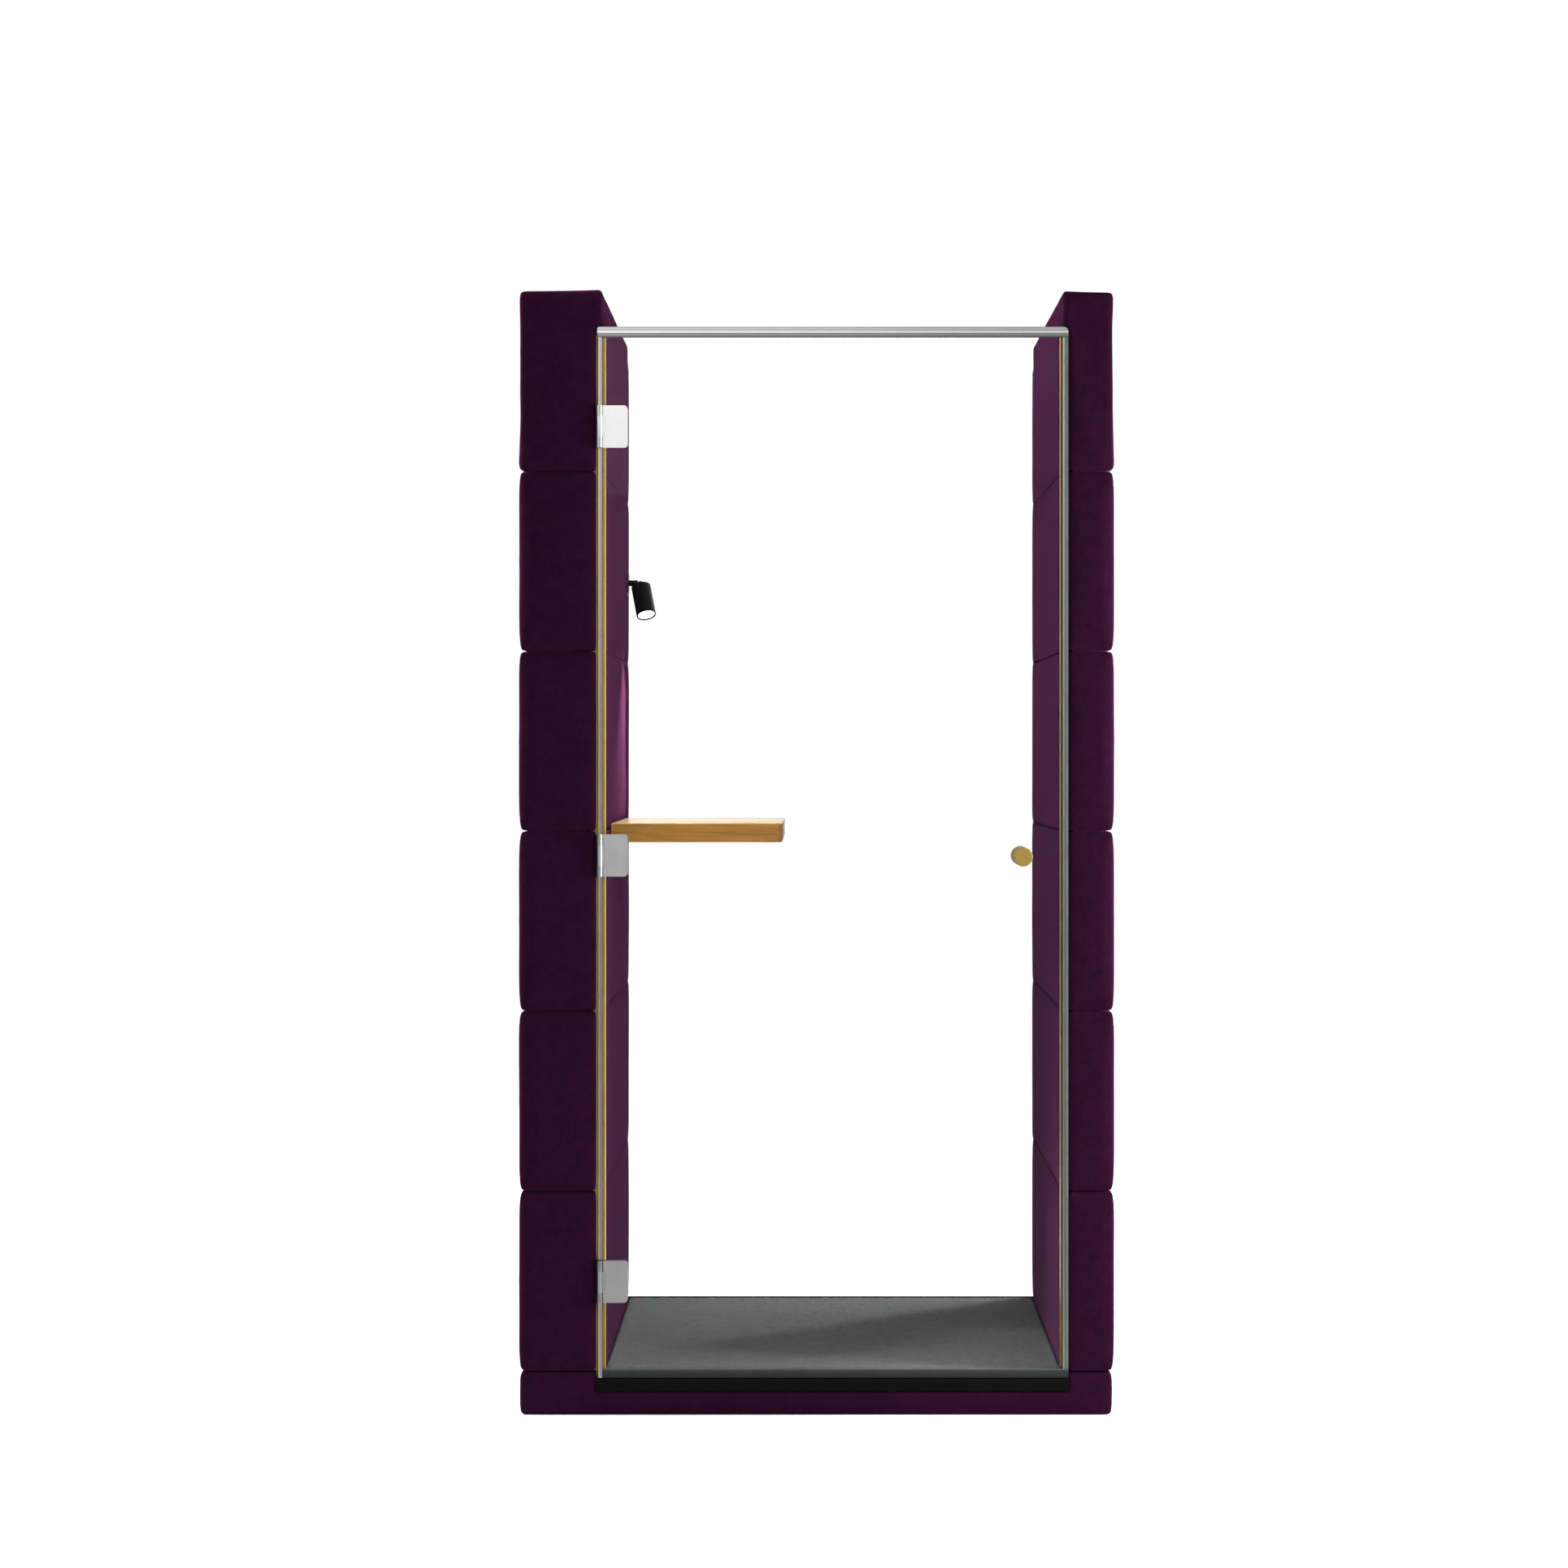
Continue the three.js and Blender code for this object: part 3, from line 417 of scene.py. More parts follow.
# Painted highlights and shade across the metal sections, set one by one: light bands stand for reflections
# and dark ones for shadow. A band is (axis, low, high, stops), and most features have a stop at each of
# their two edges.
RAIL_PAINTED_SHADING = (2, RAIL_LOW.z, RAIL_HIGH.z, (
    (0.0, 0.2), (0.14, 0.22),  # under-edge
    (0.2, 0.45), (0.29, 0.42),  # lip
    (0.31, 0.12), (0.36, 0.12),  # painted shadow line
    (0.4, 0.95), (0.55, 1.0),  # face
    (0.66, 0.62), (0.74, 0.5),  # groove
    (0.8, 0.7), (0.88, 0.8),  # flute
    (0.94, 0.45), (1.0, 0.4),  # top edge
))
PROFILE_PAINTED_SHADING = (0, PROFILE_LOW.x, PROFILE_HIGH.x, (
    (0.0, 0.35),  # edge
    (0.1, 0.95), (0.3, 1.0),  # outer flute
    (0.42, 0.55), (0.6, 0.5),  # groove
    (0.75, 0.95), (0.88, 0.9),  # inner flute
    (1.0, 0.25),  # edge
))
LATCH_PAINTED_SHADING = (0, LATCH_LOW.x, LATCH_HIGH.x, (
    (0.0, 0.15), (0.22, 0.2),  # painted shade on the side
    (0.36, 1.1), (0.6, 1.1),  # flute
    (0.75, 0.6), (1.0, 0.5),  # outer side
))
SEAL_PAINTED_SHADING = (2, SEAL_LOW.z, SEAL_HIGH.z, (
    (0.0, 0.1), (0.2, 0.25), (0.6, 0.45), (0.85, 0.7),  # painted shade: the lip darkens towards the sill
    (0.93, 1.7), (1.0, 2.2),  # painted highlight on the upper edge
))
LEAF_SHADE = (0, RAIL_LOW.x - 4 * MM, RAIL_LOW.x + 4 * MM, (
    (0.0, 0.03), (0.5, 0.03),  # painted shade, near black: the part beside the leaf's edge, in the gap
    (0.56, 1.0), (1.0, 1.0),
))
# Painted reflection: the hinges and profiles darken towards the lowest hinge; the milder ramp is for the
# hinge profile.
HEIGHT_SHADE_PAINTED = (2, HINGE_LOW.z, HINGE_HIGH.z, ((0.0, 0.36), (0.5, 0.66), (1.0, 1.0)))  # darker lower down: painted shade, a dimmer reflection on the lower hinges
MILD_HEIGHT_SHADE_PAINTED = (2, HINGE_LOW.z, HINGE_HIGH.z, ((0.0, 0.6), (0.5, 0.85), (1.0, 1.0)))

# The table's staves: across axis, width, start, block length, first joint.
STAVES = (1, 41.8 * MM, TABLE_LOW.y - 4 * MM, 310 * MM, TABLE_LOW.x + 57.2 * MM)

MATERIAL = {
    "wool_felt": wool_felt(),
    "carpet": carpet(),
    # The table's top is brightened, painted lamp light, and its ends darkened, painted shade.
    "table": oak(
        "oak_table", 0, srgb(130, 92, 38), srgb(105, 69, 26), STAVES, gloss=0.5, coat=0.8, specular=0.12,
        top_light_painted=(2.3, 3.2, 5.2), end_shade_painted=(0.6, 0.5, 0.42),
    ),
    "jamb": oak("oak_jamb", 2, srgb(131, 103, 46), srgb(101, 76, 30), coat=0.0, specular=0.05),
    # Painted shade: a darker copy of the jamb oak for the right jamb, which stands in shade.
    "jamb_painted_shade": oak("oak_strike_jamb_shaded", 2, srgb(100, 80, 32), srgb(80, 62, 24), coat=0.0, specular=0.05),
    "knob": knob_oak(),
    "threshold": coated("black_metal", srgb(4, 4, 4), 0.5, 900, 0.12, specular=0.02),
    "satin_x": brushed("satin_aluminium_x", srgb(168, 168, 168), 0.3, 0, bands=[RAIL_PAINTED_SHADING]),
    "satin_z": brushed("satin_aluminium_z", srgb(112, 108, 108), 0.38, 2),
    "hinge_profile": brushed(
        "hinge_profile", srgb(150, 147, 146), 0.3, 2, bands=[PROFILE_PAINTED_SHADING, MILD_HEIGHT_SHADE_PAINTED],
    ),
    "latch_profile": brushed(
        "latch_profile", srgb(150, 149, 149), 0.3, 2, bands=[LATCH_PAINTED_SHADING, HEIGHT_SHADE_PAINTED],
    ),
    "hinge": brushed("satin_steel", srgb(178, 177, 177), 0.32, 2, 0.45, bands=[HEIGHT_SHADE_PAINTED]),
    # Painted shade: a darker copy of the satin steel for the fixed leaves, with a near-black band in the
    # gap beside the leaf's edge.
    "hinge_leaf": brushed(
        "satin_steel_leaf_shaded", srgb(150, 149, 150), 0.38, 2, 0.45, bands=[HEIGHT_SHADE_PAINTED, LEAF_SHADE],
    ),
    "pin": brushed("bright_steel", srgb(170, 171, 173), 0.25, 2),
    "glass": clear_glass(),
    "grey_seal": coated("grey_seal", srgb(62, 68, 65), 0.55, 1200, 0.1, specular=0.2),
    "dark_seal": coated("dark_seal", srgb(40, 42, 42), 0.32, 400, 0.06, specular=0.1, bands=[SEAL_PAINTED_SHADING]),
    "magnet": coated("magnetic_rubber", srgb(30, 30, 31), 0.75, 1500, 0.2),
    "lamp_black": coated("lamp_black", srgb(9, 9, 9), 0.42, 1600, 0.25, specular=0.06),
    "lamp_plate": coated("lamp_plate", srgb(16, 15, 16), 0.28, 1600, 0.12, specular=0.5),
    "lens": lamp_lens(),
    "led": led_board(),
    "driver": coated("driver_case", srgb(232, 230, 222), 0.5, 600, 0.1),
    "ply_x": plywood("plywood_upright", 0),
    "ply_z": plywood("sealed_plywood_floor", 2, srgb(34, 30, 27), srgb(52, 47, 42)),
}

HINGES = ("top", "middle", "bottom")
FINISH = {
    "table": ["table_top"],
    "jamb": ["left_jamb"],
    "jamb_painted_shade": ["right_jamb"],
    "knob": ["knob_outer", "knob_inner"],
    "threshold": ["door_threshold", "rear_channel"],
    "satin_x": ["door_top_rail"],
    "satin_z": ["rear_left_profile", "rear_right_profile"],
    "hinge_profile": ["door_hinge_profile"],
    "latch_profile": ["door_latch_profile"],
    "hinge": [f"hinge_{p}_{kind}" for p in HINGES for kind in ("door_plate", "clamp_plate")],
    "hinge_leaf": [f"hinge_{p}_fixed_leaf" for p in HINGES],
    "pin": [*(f"hinge_{p}_pin" for p in HINGES), "knob_bolt", "table_rod_front", "table_rod_back"],
    "glass": ["door_glass", "rear_glass"],
    "grey_seal": ["door_latch_seal"],
    "dark_seal": ["door_bottom_seal"],
    "magnet": ["strike_strip", "door_magnet_strip"],
    "lamp_black": ["lamp_arm", "lamp_pivot_pin", "lamp_head", "lamp_bezel"],
    "lamp_plate": ["lamp_wall_plate"],
    "lens": ["lamp_lens"],
    "led": ["lamp_led_module"],
    "driver": ["lamp_driver"],
    "ply_x": ["left_spine", "right_spine"],
    "ply_z": ["floor_deck"],
}
for key, names in FINISH.items():
    for name in names:
        slots = nodes[name].data.materials
        if len(slots) == 0:
            slots.append(None)
        for i in range(len(slots)):
            slots[i] = MATERIAL[key]

# ---------------------------------------------------------------- upholstered blocks
EDGE_ROUND = 12 * MM  # rounding of a block's edges over its height
EDGE_NICK = 12 * MM  # how far they pull a face in at a seam
CABIN_NICK = 3.5 * MM  # the same on the faces that look into the cabin or back
UPRIGHT_ROUND = 12 * MM
REAR_ROUND = 4 * MM
LIP_ROUND = 6 * MM
SINK = 0.5 * MM  # how far the free faces sink before they swell
CROWN = {"left": 4.4 * MM, "right": 2.2 * MM}  # how far the top blocks' tops are raised before they swell
PLUMP = 2.2 * MM  # the same for the right wall's outer face
BASE_CORNER = 16 * MM
BASE_FOOT_ROUND = 8 * MM
GAP = 0.3 * MM  # between a cover and the piece beside it
JAMB_CLEAR = 1.3 * MM
RAIL_CLEAR = 2 * MM
SILL_CLEAR = 1 * MM
PUCKER = 0.1 * MM  # size of the short ripples beside a seam
WAVE = 0.2 * MM  # size of the slow ones all over a cover
PUCKER_REACH = 22 * MM  # how far the puckers run from a seam
SMOOTH_TOP = 40 * MM  # no puckers this close to the walls' free tops
FINE = 2.2 * MM  # grid step beside an edge
COARSE = 17 * MM  # grid step far from one
TINY = 1e-6


def graded(stops, first=FINE, growth=1.45, largest=COARSE):
    """Grid positions through the stops, close together beside each of them."""
    out = [stops[0]]
    for low, high in zip(stops, stops[1:]):
        half = (high - low) / 2
        steps = []
        step = first
        while sum(steps) + step < half:
            steps.append(step)
            step = min(step * growth, largest)
        if not steps:
            steps = [half]
        reach = np.cumsum(steps) * half / sum(steps)
        out.extend(low + reach)
        out.extend((high - reach)[::-1][1:])
        out.append(high)
    return np.array(out)


def boundary(solid):
    """Corner indices of the outward quads round the filled cells of a 3-D grid."""
    shape = np.array(solid.shape) + 1
    stride = np.array([shape[1] * shape[2], shape[2], 1])
    padded = np.pad(solid, 1)
    quads = []
    for axis in range(3):
        b, c = stride[(axis + 1) % 3], stride[(axis + 2) % 3]
        for side in (0, 1):
            beyond = np.roll(padded, -1 if side else 1, axis)[1:-1, 1:-1, 1:-1]
            cells = np.argwhere(solid & ~beyond)
            start = cells @ stride + side * stride[axis]
            ring = [start, start + b, start + b + c, start + c]
            quads.append(np.stack(ring if side else ring[::-1], 1))
    return np.concatenate(quads)


def grid_body(solid, xs, ys, zs):
    """The points and the outward quads round the filled cells between grid positions."""
    quads = boundary(solid)
    grid = np.stack(np.meshgrid(xs, ys, zs, indexing="ij"), -1).reshape(-1, 3)
    used = np.unique(quads)
    renumber = np.zeros(len(grid), int)
    renumber[used] = np.arange(len(used))
    return grid[used].copy(), renumber[quads]


def middles(*positions):
    return [(a[1:] + a[:-1]) / 2 for a in positions]


def to_disc(u):
    """Takes points of a square quadrant onto the disc quadrant."""
    length = np.linalg.norm(u, axis=1)
    scale = np.where(length > 0, u.max(1) / np.maximum(length, 1e-12), 1.0)
    return u * scale[:, None]


def round_corner(points, corner, inward, radius, axes=(0, 1), chosen=None):
    """Rounds one straight edge of a grid body, which runs along the axis that isn't in axes."""
    d = (points[:, axes] - corner) * inward
    near = (d >= -1e-9).all(1) & (d <= radius + 1e-9).all(1)
    if chosen is not None:
        near &= chosen
    u = to_disc(radius - d[near])
    moved = points[near]
    moved[:, axes] = corner + (radius - u) * inward
    points[near] = moved


def outline_samples(filled, xs, ys, corners):
    """Boundary points of a flat grid shape with rounded corners, and their inward normals."""
    cells = boundary(filled[:, :, None])
    grid = np.stack(np.meshgrid(xs, ys, [0.0, 1.0], indexing="ij"), -1).reshape(-1, 3)
    flat = grid.copy()
    for corner, inward, radius in corners:
        round_corner(flat, np.array(corner), np.array(inward), radius)
    inward_sum = np.zeros_like(flat)
    used = set()
    for quad in cells:
        p = flat[quad]
        normal = np.cross(p[1] - p[0], p[3] - p[0])
        if abs(grid[quad][:, 2].max() - grid[quad][:, 2].min()) < 0.5:
            continue
        for i in quad:
            inward_sum[i] -= normal
            if grid[i, 2] == 0:
                used.add(int(i))
    used = sorted(used)
    normals = inward_sum[used][:, :2]
    normals /= np.linalg.norm(normals, axis=1)[:, None]
    return flat[used][:, :2], normals


def round_end(points, level, outward, samples, normals, height=EDGE_ROUND, into=None):
    """Rounds the horizontal edges at one end, which faces up (1) or down (-1).

    into is the X direction of the cabin: the faces that look there are pulled in less.
    """
    tree = KDTree(len(samples))
    for i, (x, y) in enumerate(samples):
        tree.insert((x, y, 0), i)
    tree.balance()
    for i in np.flatnonzero(np.abs(points[:, 2] - level) < height):
        p = points[i]
        t = (level - p[2]) * outward
        _, k, s = tree.find((p[0], p[1], 0))
        towards = 0.0 if into is None else min(1.0, max(0.0, -normals[k][0] * into))
        pull = EDGE_NICK + (CABIN_NICK - EDGE_NICK) * towards
        if s >= pull or t < 0:
            continue
        if t > 1e-7 and s > 1e-6:
            continue
        normal = normals[k] if s < 1e-6 else (p[:2] - samples[k]) / s
        u = np.array([[1 - s / pull, 1 - t / height]])
        a, b = to_disc(u)[0]
        p[:2] += normal * (pull * (1 - a) - s)
        p[2] = level - outward * height * (1 - b)


def smoothed(points, quads, rounds, hold=None):
    """Moves each point part of the way to the mean of its neighbours."""
    pairs = np.concatenate([quads[:, [0, 1]], quads[:, [1, 2]], quads[:, [2, 3]], quads[:, [3, 0]]])
    pairs = np.concatenate([pairs, pairs[:, ::-1]])
    count = np.bincount(pairs[:, 0], minlength=len(points))[:, None]
    for _ in range(rounds):
        total = np.zeros_like(points)
        np.add.at(total, pairs[:, 0], points[pairs[:, 1]])
        step = 0.5 * (total / count - points)
        if hold is not None:
            step *= (1 - hold)[:, None]
        points = points + step
    return points


def normals_of(points, quads):
    face = np.cross(points[quads[:, 2]] - points[quads[:, 0]], points[quads[:, 3]] - points[quads[:, 1]])
    out = np.zeros_like(points)
    for k in range(4):
        np.add.at(out, quads[:, k], face)
    return out / np.maximum(np.linalg.norm(out, axis=1), 1e-12)[:, None]


def mesh_object(name, points, quads, material, smooth=True):
    mesh = bpy.data.meshes.new(name)
    mesh.from_pydata([tuple(p) for p in points], [], [tuple(int(i) for i in q) for q in quads])
    mesh.validate()
    if smooth:
        mesh.polygons.foreach_set("use_smooth", np.ones(len(mesh.polygons), bool))
    mesh.materials.append(material)
    made = bpy.data.objects.new(name, mesh)
    bpy.context.scene.collection.objects.link(made)
    return made


def swelled(points, quads, held, pressure=4.0, frames=18, cap=2.6 * MM):
    """The shape after a cloth simulation under inner pressure.

    held pins a point at 1, and no point moves over cap.
    """
    pad = mesh_object("cloth_work", points, quads, MATERIAL["wool_felt"])
    group = pad.vertex_groups.new(name="held")
    for i, weight in enumerate(held):
        if weight > 0:
            group.add([i], float(weight), "REPLACE")
    cloth = pad.modifiers.new("Cloth", "CLOTH")
    settings = cloth.settings
    settings.quality = 5
    settings.mass = 0.35
    settings.tension_stiffness = 40
    settings.compression_stiffness = 40
    settings.shear_stiffness = 15
    settings.bending_stiffness = 2.0
    settings.use_pressure = True
    settings.uniform_pressure_force = pressure
    settings.vertex_group_mass = "held"
    settings.effector_weights.gravity = 0
    cloth.collision_settings.use_self_collision = False
    cloth.collision_settings.use_collision = False
    cloth.point_cache.frame_start = 1
    cloth.point_cache.frame_end = frames
    scene = bpy.context.scene
    for number in range(1, frames + 1):
        scene.frame_set(number)
    evaluated = pad.evaluated_get(bpy.context.evaluated_depsgraph_get())
    out = np.zeros(len(points) * 3)
    evaluated.data.vertices.foreach_get("co", out)
    scene.frame_set(1)
    bpy.data.objects.remove(pad)
    step = out.reshape(-1, 3) - points
    size = np.linalg.norm(step, axis=1)
    limited = cap * np.tanh(size / cap)
    return points + step * (limited / np.maximum(size, 1e-12))[:, None]


class Ripple:
    """Smooth seeded undulation: a sum of plane waves with wavelengths in a range."""

    def __init__(self, seed, shortest, longest, waves=14):
        random = np.random.default_rng(seed)
        direction = random.normal(size=(waves, 3))
        direction /= np.linalg.norm(direction, axis=1)[:, None]
        length = np.exp(random.uniform(math.log(shortest), math.log(longest), waves))
        self.k = direction * (2 * math.pi / length)[:, None]
        self.phase = random.uniform(0, 2 * math.pi, waves)
        self.scale = 1 / math.sqrt(waves / 2)

    def __call__(self, points):
        return np.sin(points @ self.k.T + self.phase).sum(1) * self.scale


def wall_block(node, frame_edge, top=False):
    """One wall block's rounded grid body from its CAD box: points, quads, and 1 for each held point.

    frame_edge is the X where the front lip ends.
    """
    low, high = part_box(node)
    inner_high = high.x - frame_edge < frame_edge - low.x  # the cabin is on this block's high side
    inner = high.x if inner_high else low.x
    if not inner_high:
        high.x += PLUMP
    if top:
        high.z += CROWN["left" if inner_high else "right"]
    front_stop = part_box("left_jamb")[1].y + JAMB_CLEAR
    rear_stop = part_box("rear_channel")[0].y - GAP
    lip = frame_edge
    shelf = RAIL_HIGH.z + RAIL_CLEAR
    xs = graded([low.x, lip, high.x])
    ys = graded([low.y, front_stop, rear_stop, high.y])
    zs = graded([low.z, shelf, high.z] if top else [low.z, high.z])
    cx, cy, cz = middles(xs, ys, zs)
    beside = cx > lip if inner_high else cx < lip
    notch = beside[:, None] & ((cy < front_stop) | (cy > rear_stop))[None, :]
    solid = np.ones((len(cx), len(cy), len(cz)), bool)
    solid &= ~(notch[:, :, None] & (cz < shelf)[None, None, :]) if top else ~notch[:, :, None]
    points, quads = grid_body(solid, xs, ys, zs)
    start = points.copy()

    outer = low.x if inner_high else high.x
    into = 1 if inner_high else -1  # from the outer face towards the cabin
    outer_corners = [
        ((outer, low.y), (into, 1), UPRIGHT_ROUND),
        ((outer, high.y), (into, -1), UPRIGHT_ROUND),
    ]
    notched = outer_corners + [
        ((lip, low.y), (-into, 1), LIP_ROUND),
        ((inner, front_stop), (-into, 1), LIP_ROUND * 0.7),
        ((inner, rear_stop), (-into, -1), LIP_ROUND * 0.4),
        ((lip, high.y), (-into, -1), LIP_ROUND),
    ]
    full = outer_corners + [
        ((inner, low.y), (-into, 1), UPRIGHT_ROUND),
        ((inner, high.y), (-into, -1), REAR_ROUND),
    ]
    below = start[:, 2] < shelf - TINY if top else np.ones(len(points), bool)
    for corner, inward, radius in notched:
        round_corner(points, np.array(corner), np.array(inward), radius, (0, 1), below)
    if top:
        for corner, inward, radius in full:
            round_corner(points, np.array(corner), np.array(inward), radius, (0, 1), ~below)
    samples = outline_samples(~notch, xs, ys, notched)
    round_end(points, low.z, -1, *samples, into=into)
    if top:
        samples = outline_samples(np.ones_like(notch), xs, ys, full)
    round_end(points, high.z, 1, *samples, into=into)

    x, y, z = start.T
    in_notch = (y < front_stop + TINY) | (y > rear_stop - TINY)
    in_notch &= (x * into > lip * into - TINY) & (z < shelf + TINY)
    hidden_end = np.abs(z - low.z) < TINY
    if not top:
        hidden_end |= np.abs(z - high.z) < TINY
    held = np.where(in_notch | hidden_end, 1.0, 0.0)
    return points, quads, held


def soften(points, quads, held):
    """Rounds what is still sharp, sinks the free faces a little and lets them swell."""
    points = smoothed(points, quads, 3)
    normal = normals_of(points, quads)
    free = smoothed(np.repeat((1 - held)[:, None], 3, 1), quads, 4)[:, 0]
    points = points - normal * (free * SINK)[:, None]
    return swelled(points, quads, held)


def finished_cover(name, node, shape, quads, held, seed, rise=0.0):
    """Adds the small tension ripples of a stretched cover and shows it in place of a node."""
    points = shape + np.array((0, 0, rise))
    free_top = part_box("left_module_6")[1].z
    normal = normals_of(points, quads)
    low, high = points.min(0), points.max(0)
    to_seam = np.minimum(points[:, 2] - low[2], high[2] - points[:, 2])
    pucker = Ripple(seed, 18 * MM, 42 * MM)(points * (1, 1, 0.25))
    slow = Ripple(seed + 100, 120 * MM, 420 * MM)(points)
    fade = np.exp(-to_seam / PUCKER_REACH) * (to_seam > 3 * MM) * (points[:, 2] < free_top - SMOOTH_TOP)
    size = (PUCKER * pucker * fade + WAVE * slow) * (1 - held)
    points = points + normal * size[:, None]
    piece = mesh_object(name, points, quads, MATERIAL["wool_felt"])
    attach(piece, "booth")
    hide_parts(node)


def upholster_walls():
    """Six blocks a side. The lower five have one simulated shape and differ in their ripples."""
    sill_low, sill_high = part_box("door_threshold")
    for side_number, (side, edge) in enumerate((("left", sill_low.x - GAP), ("right", sill_high.x + GAP))):
        points, quads, held = wall_block(f"{side}_module_1", edge)
        shape = soften(points, quads, held)
        top_points, top_quads, top_held = wall_block(f"{side}_module_6", edge, True)
        top_shape = soften(top_points, top_quads, top_held)
        base_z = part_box(f"{side}_module_1")[0].z
        for number in range(1, 6):
            node = f"{side}_module_{number}"
            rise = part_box(node)[0].z - base_z
            seed = 10 * number + side_number
            finished_cover(f"{side}_block_{number}", node, shape, quads, held, seed, rise)
        seed = 60 + side_number
        finished_cover(f"{side}_block_6", f"{side}_module_6", top_shape, top_quads, top_held, seed)


upholster_walls()


def upholster_base():
    """The upholstered base with its floor pocket and the recesses under the door and the pane."""
    low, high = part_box("base_plinth")
    sill_low, sill_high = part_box("door_threshold")
    carpet_low, carpet_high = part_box("floor_carpet")
    channel_low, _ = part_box("rear_channel")
    ledge = sill_low.z - GAP
    x_stops = [low.x, sill_low.x - GAP, carpet_low.x - GAP, carpet_high.x + GAP, sill_high.x + GAP, high.x]
    y_stops = [low.y, sill_high.y + SILL_CLEAR, channel_low.y - GAP, high.y]
    z_stops = [low.z, ledge, high.z]
    xs, ys, zs = graded(x_stops), graded(y_stops), graded(z_stops)
    cx, cy, cz = middles(xs, ys, zs)
    pocket = (cx > x_stops[2]) & (cx < x_stops[3])
    wide = (cx > x_stops[1]) & (cx < x_stops[4])
    ends = (cy < y_stops[1]) | (cy > y_stops[2])
    open_above = pocket[:, None] | (wide[:, None] & ends[None, :])
    solid = ~(open_above[:, :, None] & (cz > ledge)[None, None, :])
    points, quads = grid_body(solid, xs, ys, zs)
    start = points.copy()
    corners = [
        ((low.x, low.y), (1, 1), BASE_CORNER),
        ((high.x, low.y), (-1, 1), BASE_CORNER),
        ((high.x, high.y), (-1, -1), BASE_CORNER),
        ((low.x, high.y), (1, -1), BASE_CORNER),
    ]
    for corner, inward, radius in corners:
        round_corner(points, np.array(corner), np.array(inward), radius)
    samples, normals = outline_samples(np.ones((len(cx), len(cy)), bool), xs, ys, corners)
    round_end(points, low.z, -1, samples, normals, BASE_FOOT_ROUND)
    x, y, z = start.T
    solid_top = (x < x_stops[1] + TINY) | (x > x_stops[4] - TINY)
    part_points = points[solid_top]
    round_end(part_points, high.z, 1, samples, normals)
    points[solid_top] = part_points
    outside = (np.abs(x - low.x) < TINY) | (np.abs(x - high.x) < TINY)
    outside |= (np.abs(y - low.y) < TINY) | (np.abs(y - high.y) < TINY)
    held = np.where(outside & (z > low.z + TINY), 0.0, 1.0)
    shape = soften(points, quads, held)
    shape[:, 2] = np.maximum(shape[:, 2], 0)
    finished_cover("base_cover", "base_plinth", shape, quads, held, 7)


upholster_base()


# ---------------------------------------------------------------- carpet
TUFT_PITCH = 4.2 * MM
TUFT = 0.65 * MM  # how far a tuft stands over or under the mean pile
PILE_SINK = 0.7 * MM  # from the CAD's top to the mean pile
EDGE_FALL = 1.6 * MM  # how far the pile falls off at the carpet's edge


def lay_carpet():
    """A closed slab whose top is a dense field of pile tufts."""
    low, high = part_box("floor_carpet")
    xs = np.linspace(low.x, high.x, round((high.x - low.x) / TUFT_PITCH) + 1)
    ys = np.linspace(low.y, high.y, round((high.y - low.y) / TUFT_PITCH) + 1)
    random = np.random.default_rng(5)
    nx, ny = len(xs), len(ys)
    top = np.stack(np.meshgrid(xs, ys, indexing="ij"), -1)
    tuft = random.uniform(-1, 1, (nx, ny))
    jitter = random.uniform(-0.25, 0.25, (nx, ny, 2)) * TUFT_PITCH
    jitter[0], jitter[-1], jitter[:, 0], jitter[:, -1] = 0, 0, 0, 0
    top = top + jitter
    edge = np.minimum.reduce([
        (top[..., 0] - low.x), (high.x - top[..., 0]), (top[..., 1] - low.y), (high.y - top[..., 1]),
    ])
    fall = EDGE_FALL * np.exp(-edge / (3 * MM))
    height = high.z - PILE_SINK + TUFT * tuft - fall
    upper = np.concatenate([top, height[..., None]], -1).reshape(-1, 3)
    lower = upper.copy()
    lower[:, 2] = low.z
    index = np.arange(nx * ny).reshape(nx, ny)
    quads = np.stack([index[:-1, :-1], index[1:, :-1], index[1:, 1:], index[:-1, 1:]], -1).reshape(-1, 4)
    rim = np.concatenate([index[:-1, 0], index[-1, :-1], index[:0:-1, -1], index[0, :0:-1]])
    after = np.roll(rim, -1)
    count = nx * ny
    low_ring = np.arange(len(rim)) + count
    points = np.concatenate([upper, lower[rim]])
    sides = np.stack([rim, low_ring, np.roll(low_ring, -1), after], -1)
    faces = [tuple(int(i) for i in q) for q in np.concatenate([quads, sides])]
    faces.append(tuple(int(i) for i in low_ring[::-1]))
    mesh = bpy.data.meshes.new("carpet_pile")
    mesh.from_pydata([tuple(p) for p in points], [], faces)
    mesh.validate()
    mesh.polygons.foreach_set("use_smooth", np.array([len(p.vertices) == 4 for p in mesh.polygons]))
    mesh.materials.append(MATERIAL["carpet"])
    piece = bpy.data.objects.new("carpet_pile", mesh)
    bpy.context.scene.collection.objects.link(piece)
    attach(piece, "booth")
    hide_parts("floor_carpet")


lay_carpet()


# ---------------------------------------------------------------- stage and light
def plain(name, colour, roughness):
    t = Tree(name)
    cloud = t.noise(t.place(), 0.6, 2)
    base = t.mix(0.05, colour, t.ramp(cloud, (0.3, 0.9), (0.7, 1.0)), "MULTIPLY")
    return t.finish(base_color=base, roughness=roughness, specular_ior_level=0.2)


def make_stage():
    size = 40
    corners = [(-size, -size, 0), (size, -size, 0), (size, size, 0), (-size, size, 0)]
    material = plain("stage_floor", (0.985, 0.985, 0.985), 0.8)
    floor = mesh_object("stage_floor", corners, [(0, 1, 2, 3)], material, smooth=False)


make_stage()

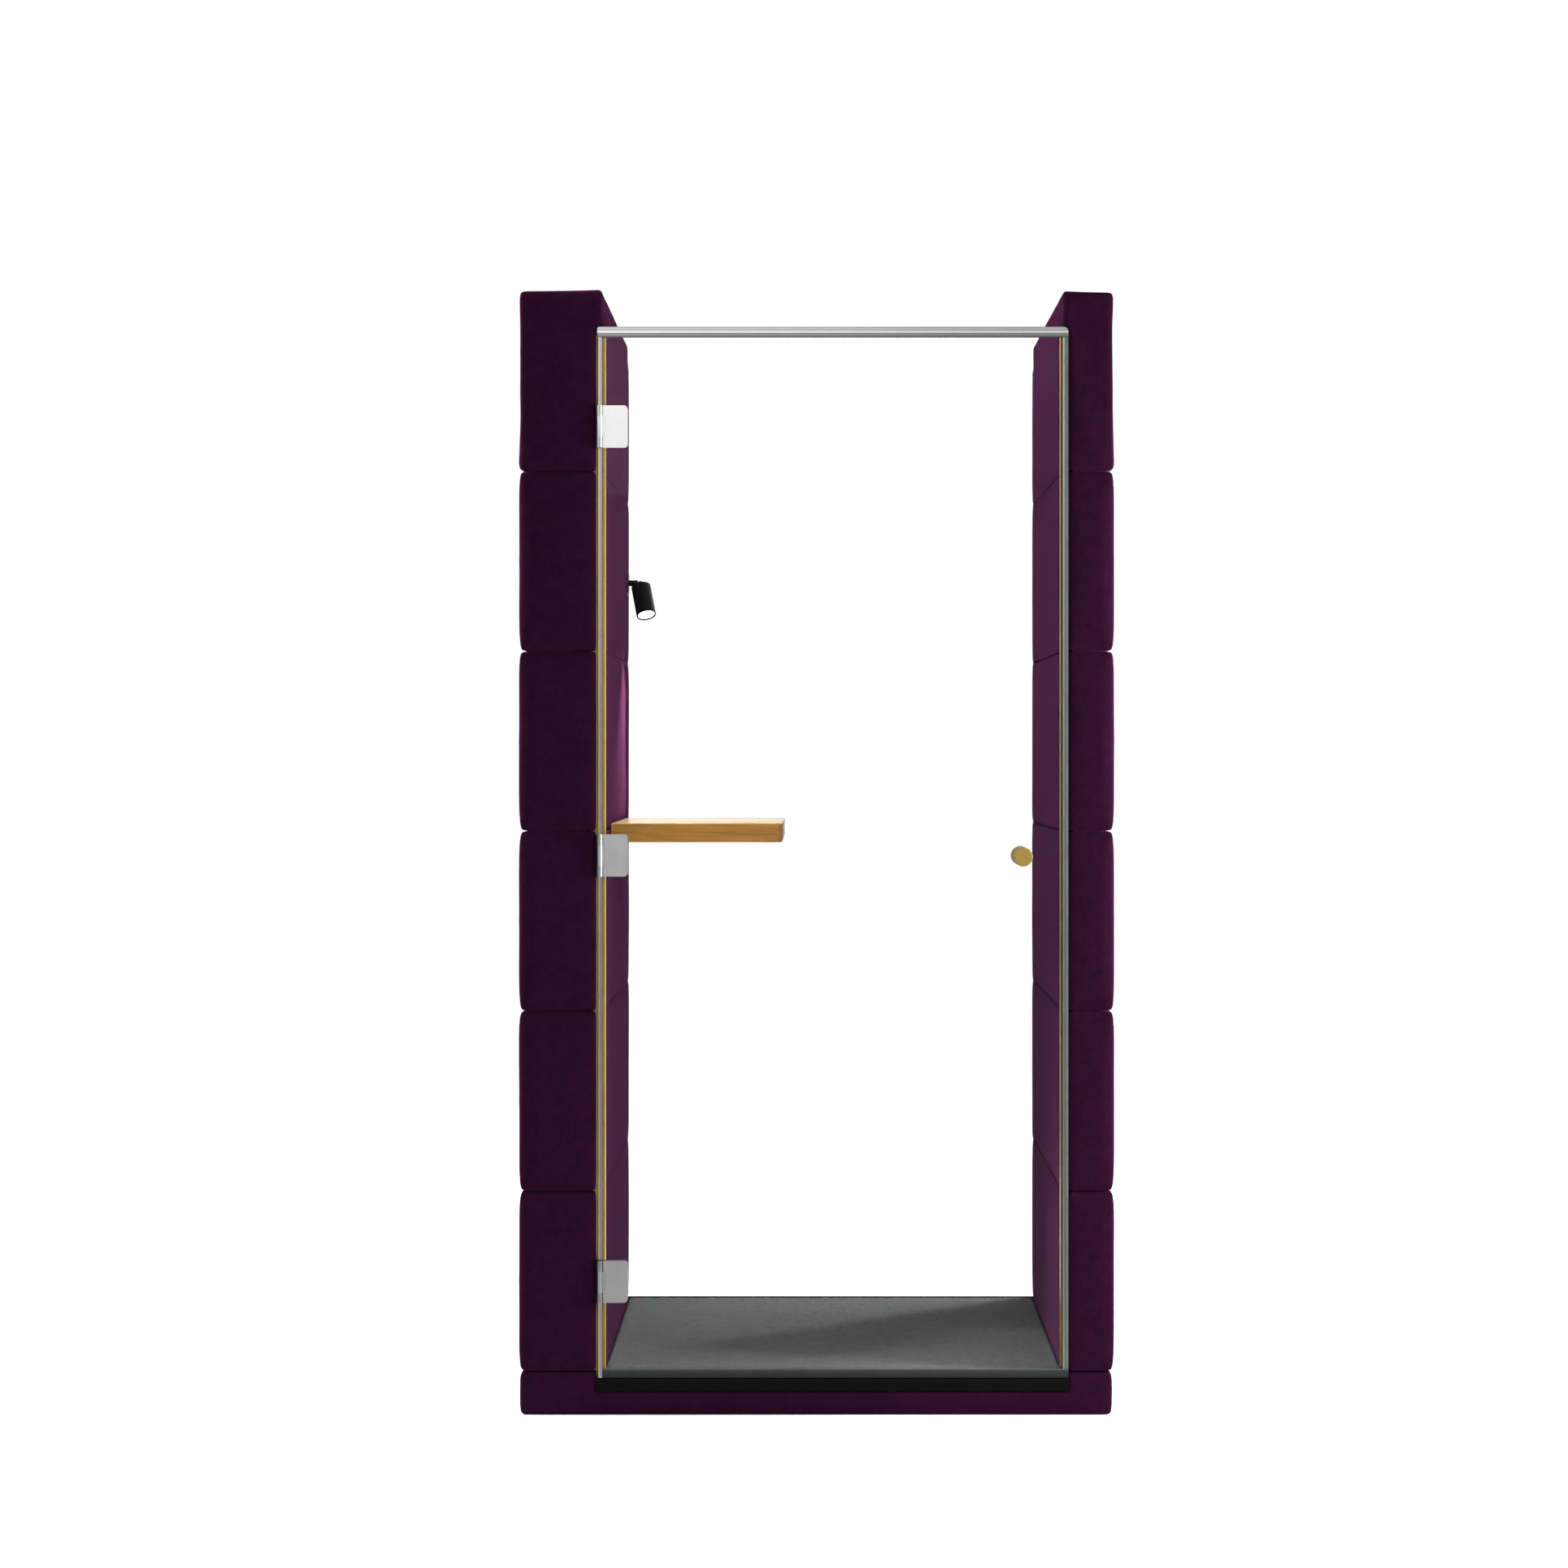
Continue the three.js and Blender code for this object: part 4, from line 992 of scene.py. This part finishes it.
world = bpy.data.worlds.new("world")
bpy.context.scene.world = world
world.use_nodes = True
background = world.node_tree.nodes["Background"]
background.inputs["Color"].default_value = (1, 1, 1, 1)
background.inputs["Strength"].default_value = 1.03


def placed_light(data, place, direction):
    lamp = bpy.data.objects.new(data.name, data)
    lamp.location = place
    lamp.rotation_mode = "QUATERNION"
    lamp.rotation_quaternion = direction.to_track_quat("-Z", "Y")
    lamp.visible_camera = False
    bpy.context.scene.collection.objects.link(lamp)
    return lamp


def area_light(name, place, target, size, power):
    data = bpy.data.lights.new(name, "AREA")
    data.shape = "RECTANGLE"
    data.size, data.size_y = size
    data.energy = power
    return placed_light(data, place, Vector(target) - Vector(place))


area_light("front_panel", (-0.8, -7.2, 2.9), (-0.3, -0.5, 1.5), (2.4, 1.3), 30)
area_light("back_right", (2.84, 2.64, 1.9), (0.0, 0.1, 0.3), (0.35, 0.35), 175)
area_light("front_right", (1.5, -1.95, 2.2), (0.2, -0.3, 0.2), (0.35, 0.35), 6)
area_light("right_side", (1.9, -0.95, 1.4), (0.53, -0.5, 1.2), (0.4, 1.4), 112)
area_light("upper_left", (-2.4, -0.2, 4.4), (0.477, 0, 1.9), (0.8, 0.8), 165)
area_light("over_left_top", (-2.5, -0.3, 2.62), (0.477, 0, 2.1), (0.3, 0.3), 120)


def spot_light(name, place, direction, power, angle, blend, radius, colour=(1, 1, 1)):
    data = bpy.data.lights.new(name, "SPOT")
    data.energy = power
    data.color = colour
    data.spot_size = math.radians(angle)
    data.spot_blend = blend
    data.shadow_soft_size = radius
    return placed_light(data, place, direction)


# Over the left wall's top, onto the carpet behind the door.
over_wall = Vector((-1.15, -0.9, 4.6))
spot_light("over_left_wall", over_wall, Vector((0.36, -0.3, 0.09)) - over_wall, 1000, 9, 0.6, 0.12)


def lamp_beam():
    """A warm spot inside the lamp's mouth, which rides on its head."""
    pin_low, pin_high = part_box("lamp_pivot_pin")
    pivot = (pin_low + pin_high) / 2
    lens_low, lens_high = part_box("lamp_lens")
    mouth = (lens_low + lens_high) / 2
    along = (mouth - pivot).normalized()
    beam = spot_light("lamp_beam", mouth + along * 0.008, along, 13, 75, 0.6, 0.012, (1, 0.95, 0.9))
    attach(beam, "lamp_head")


lamp_beam()
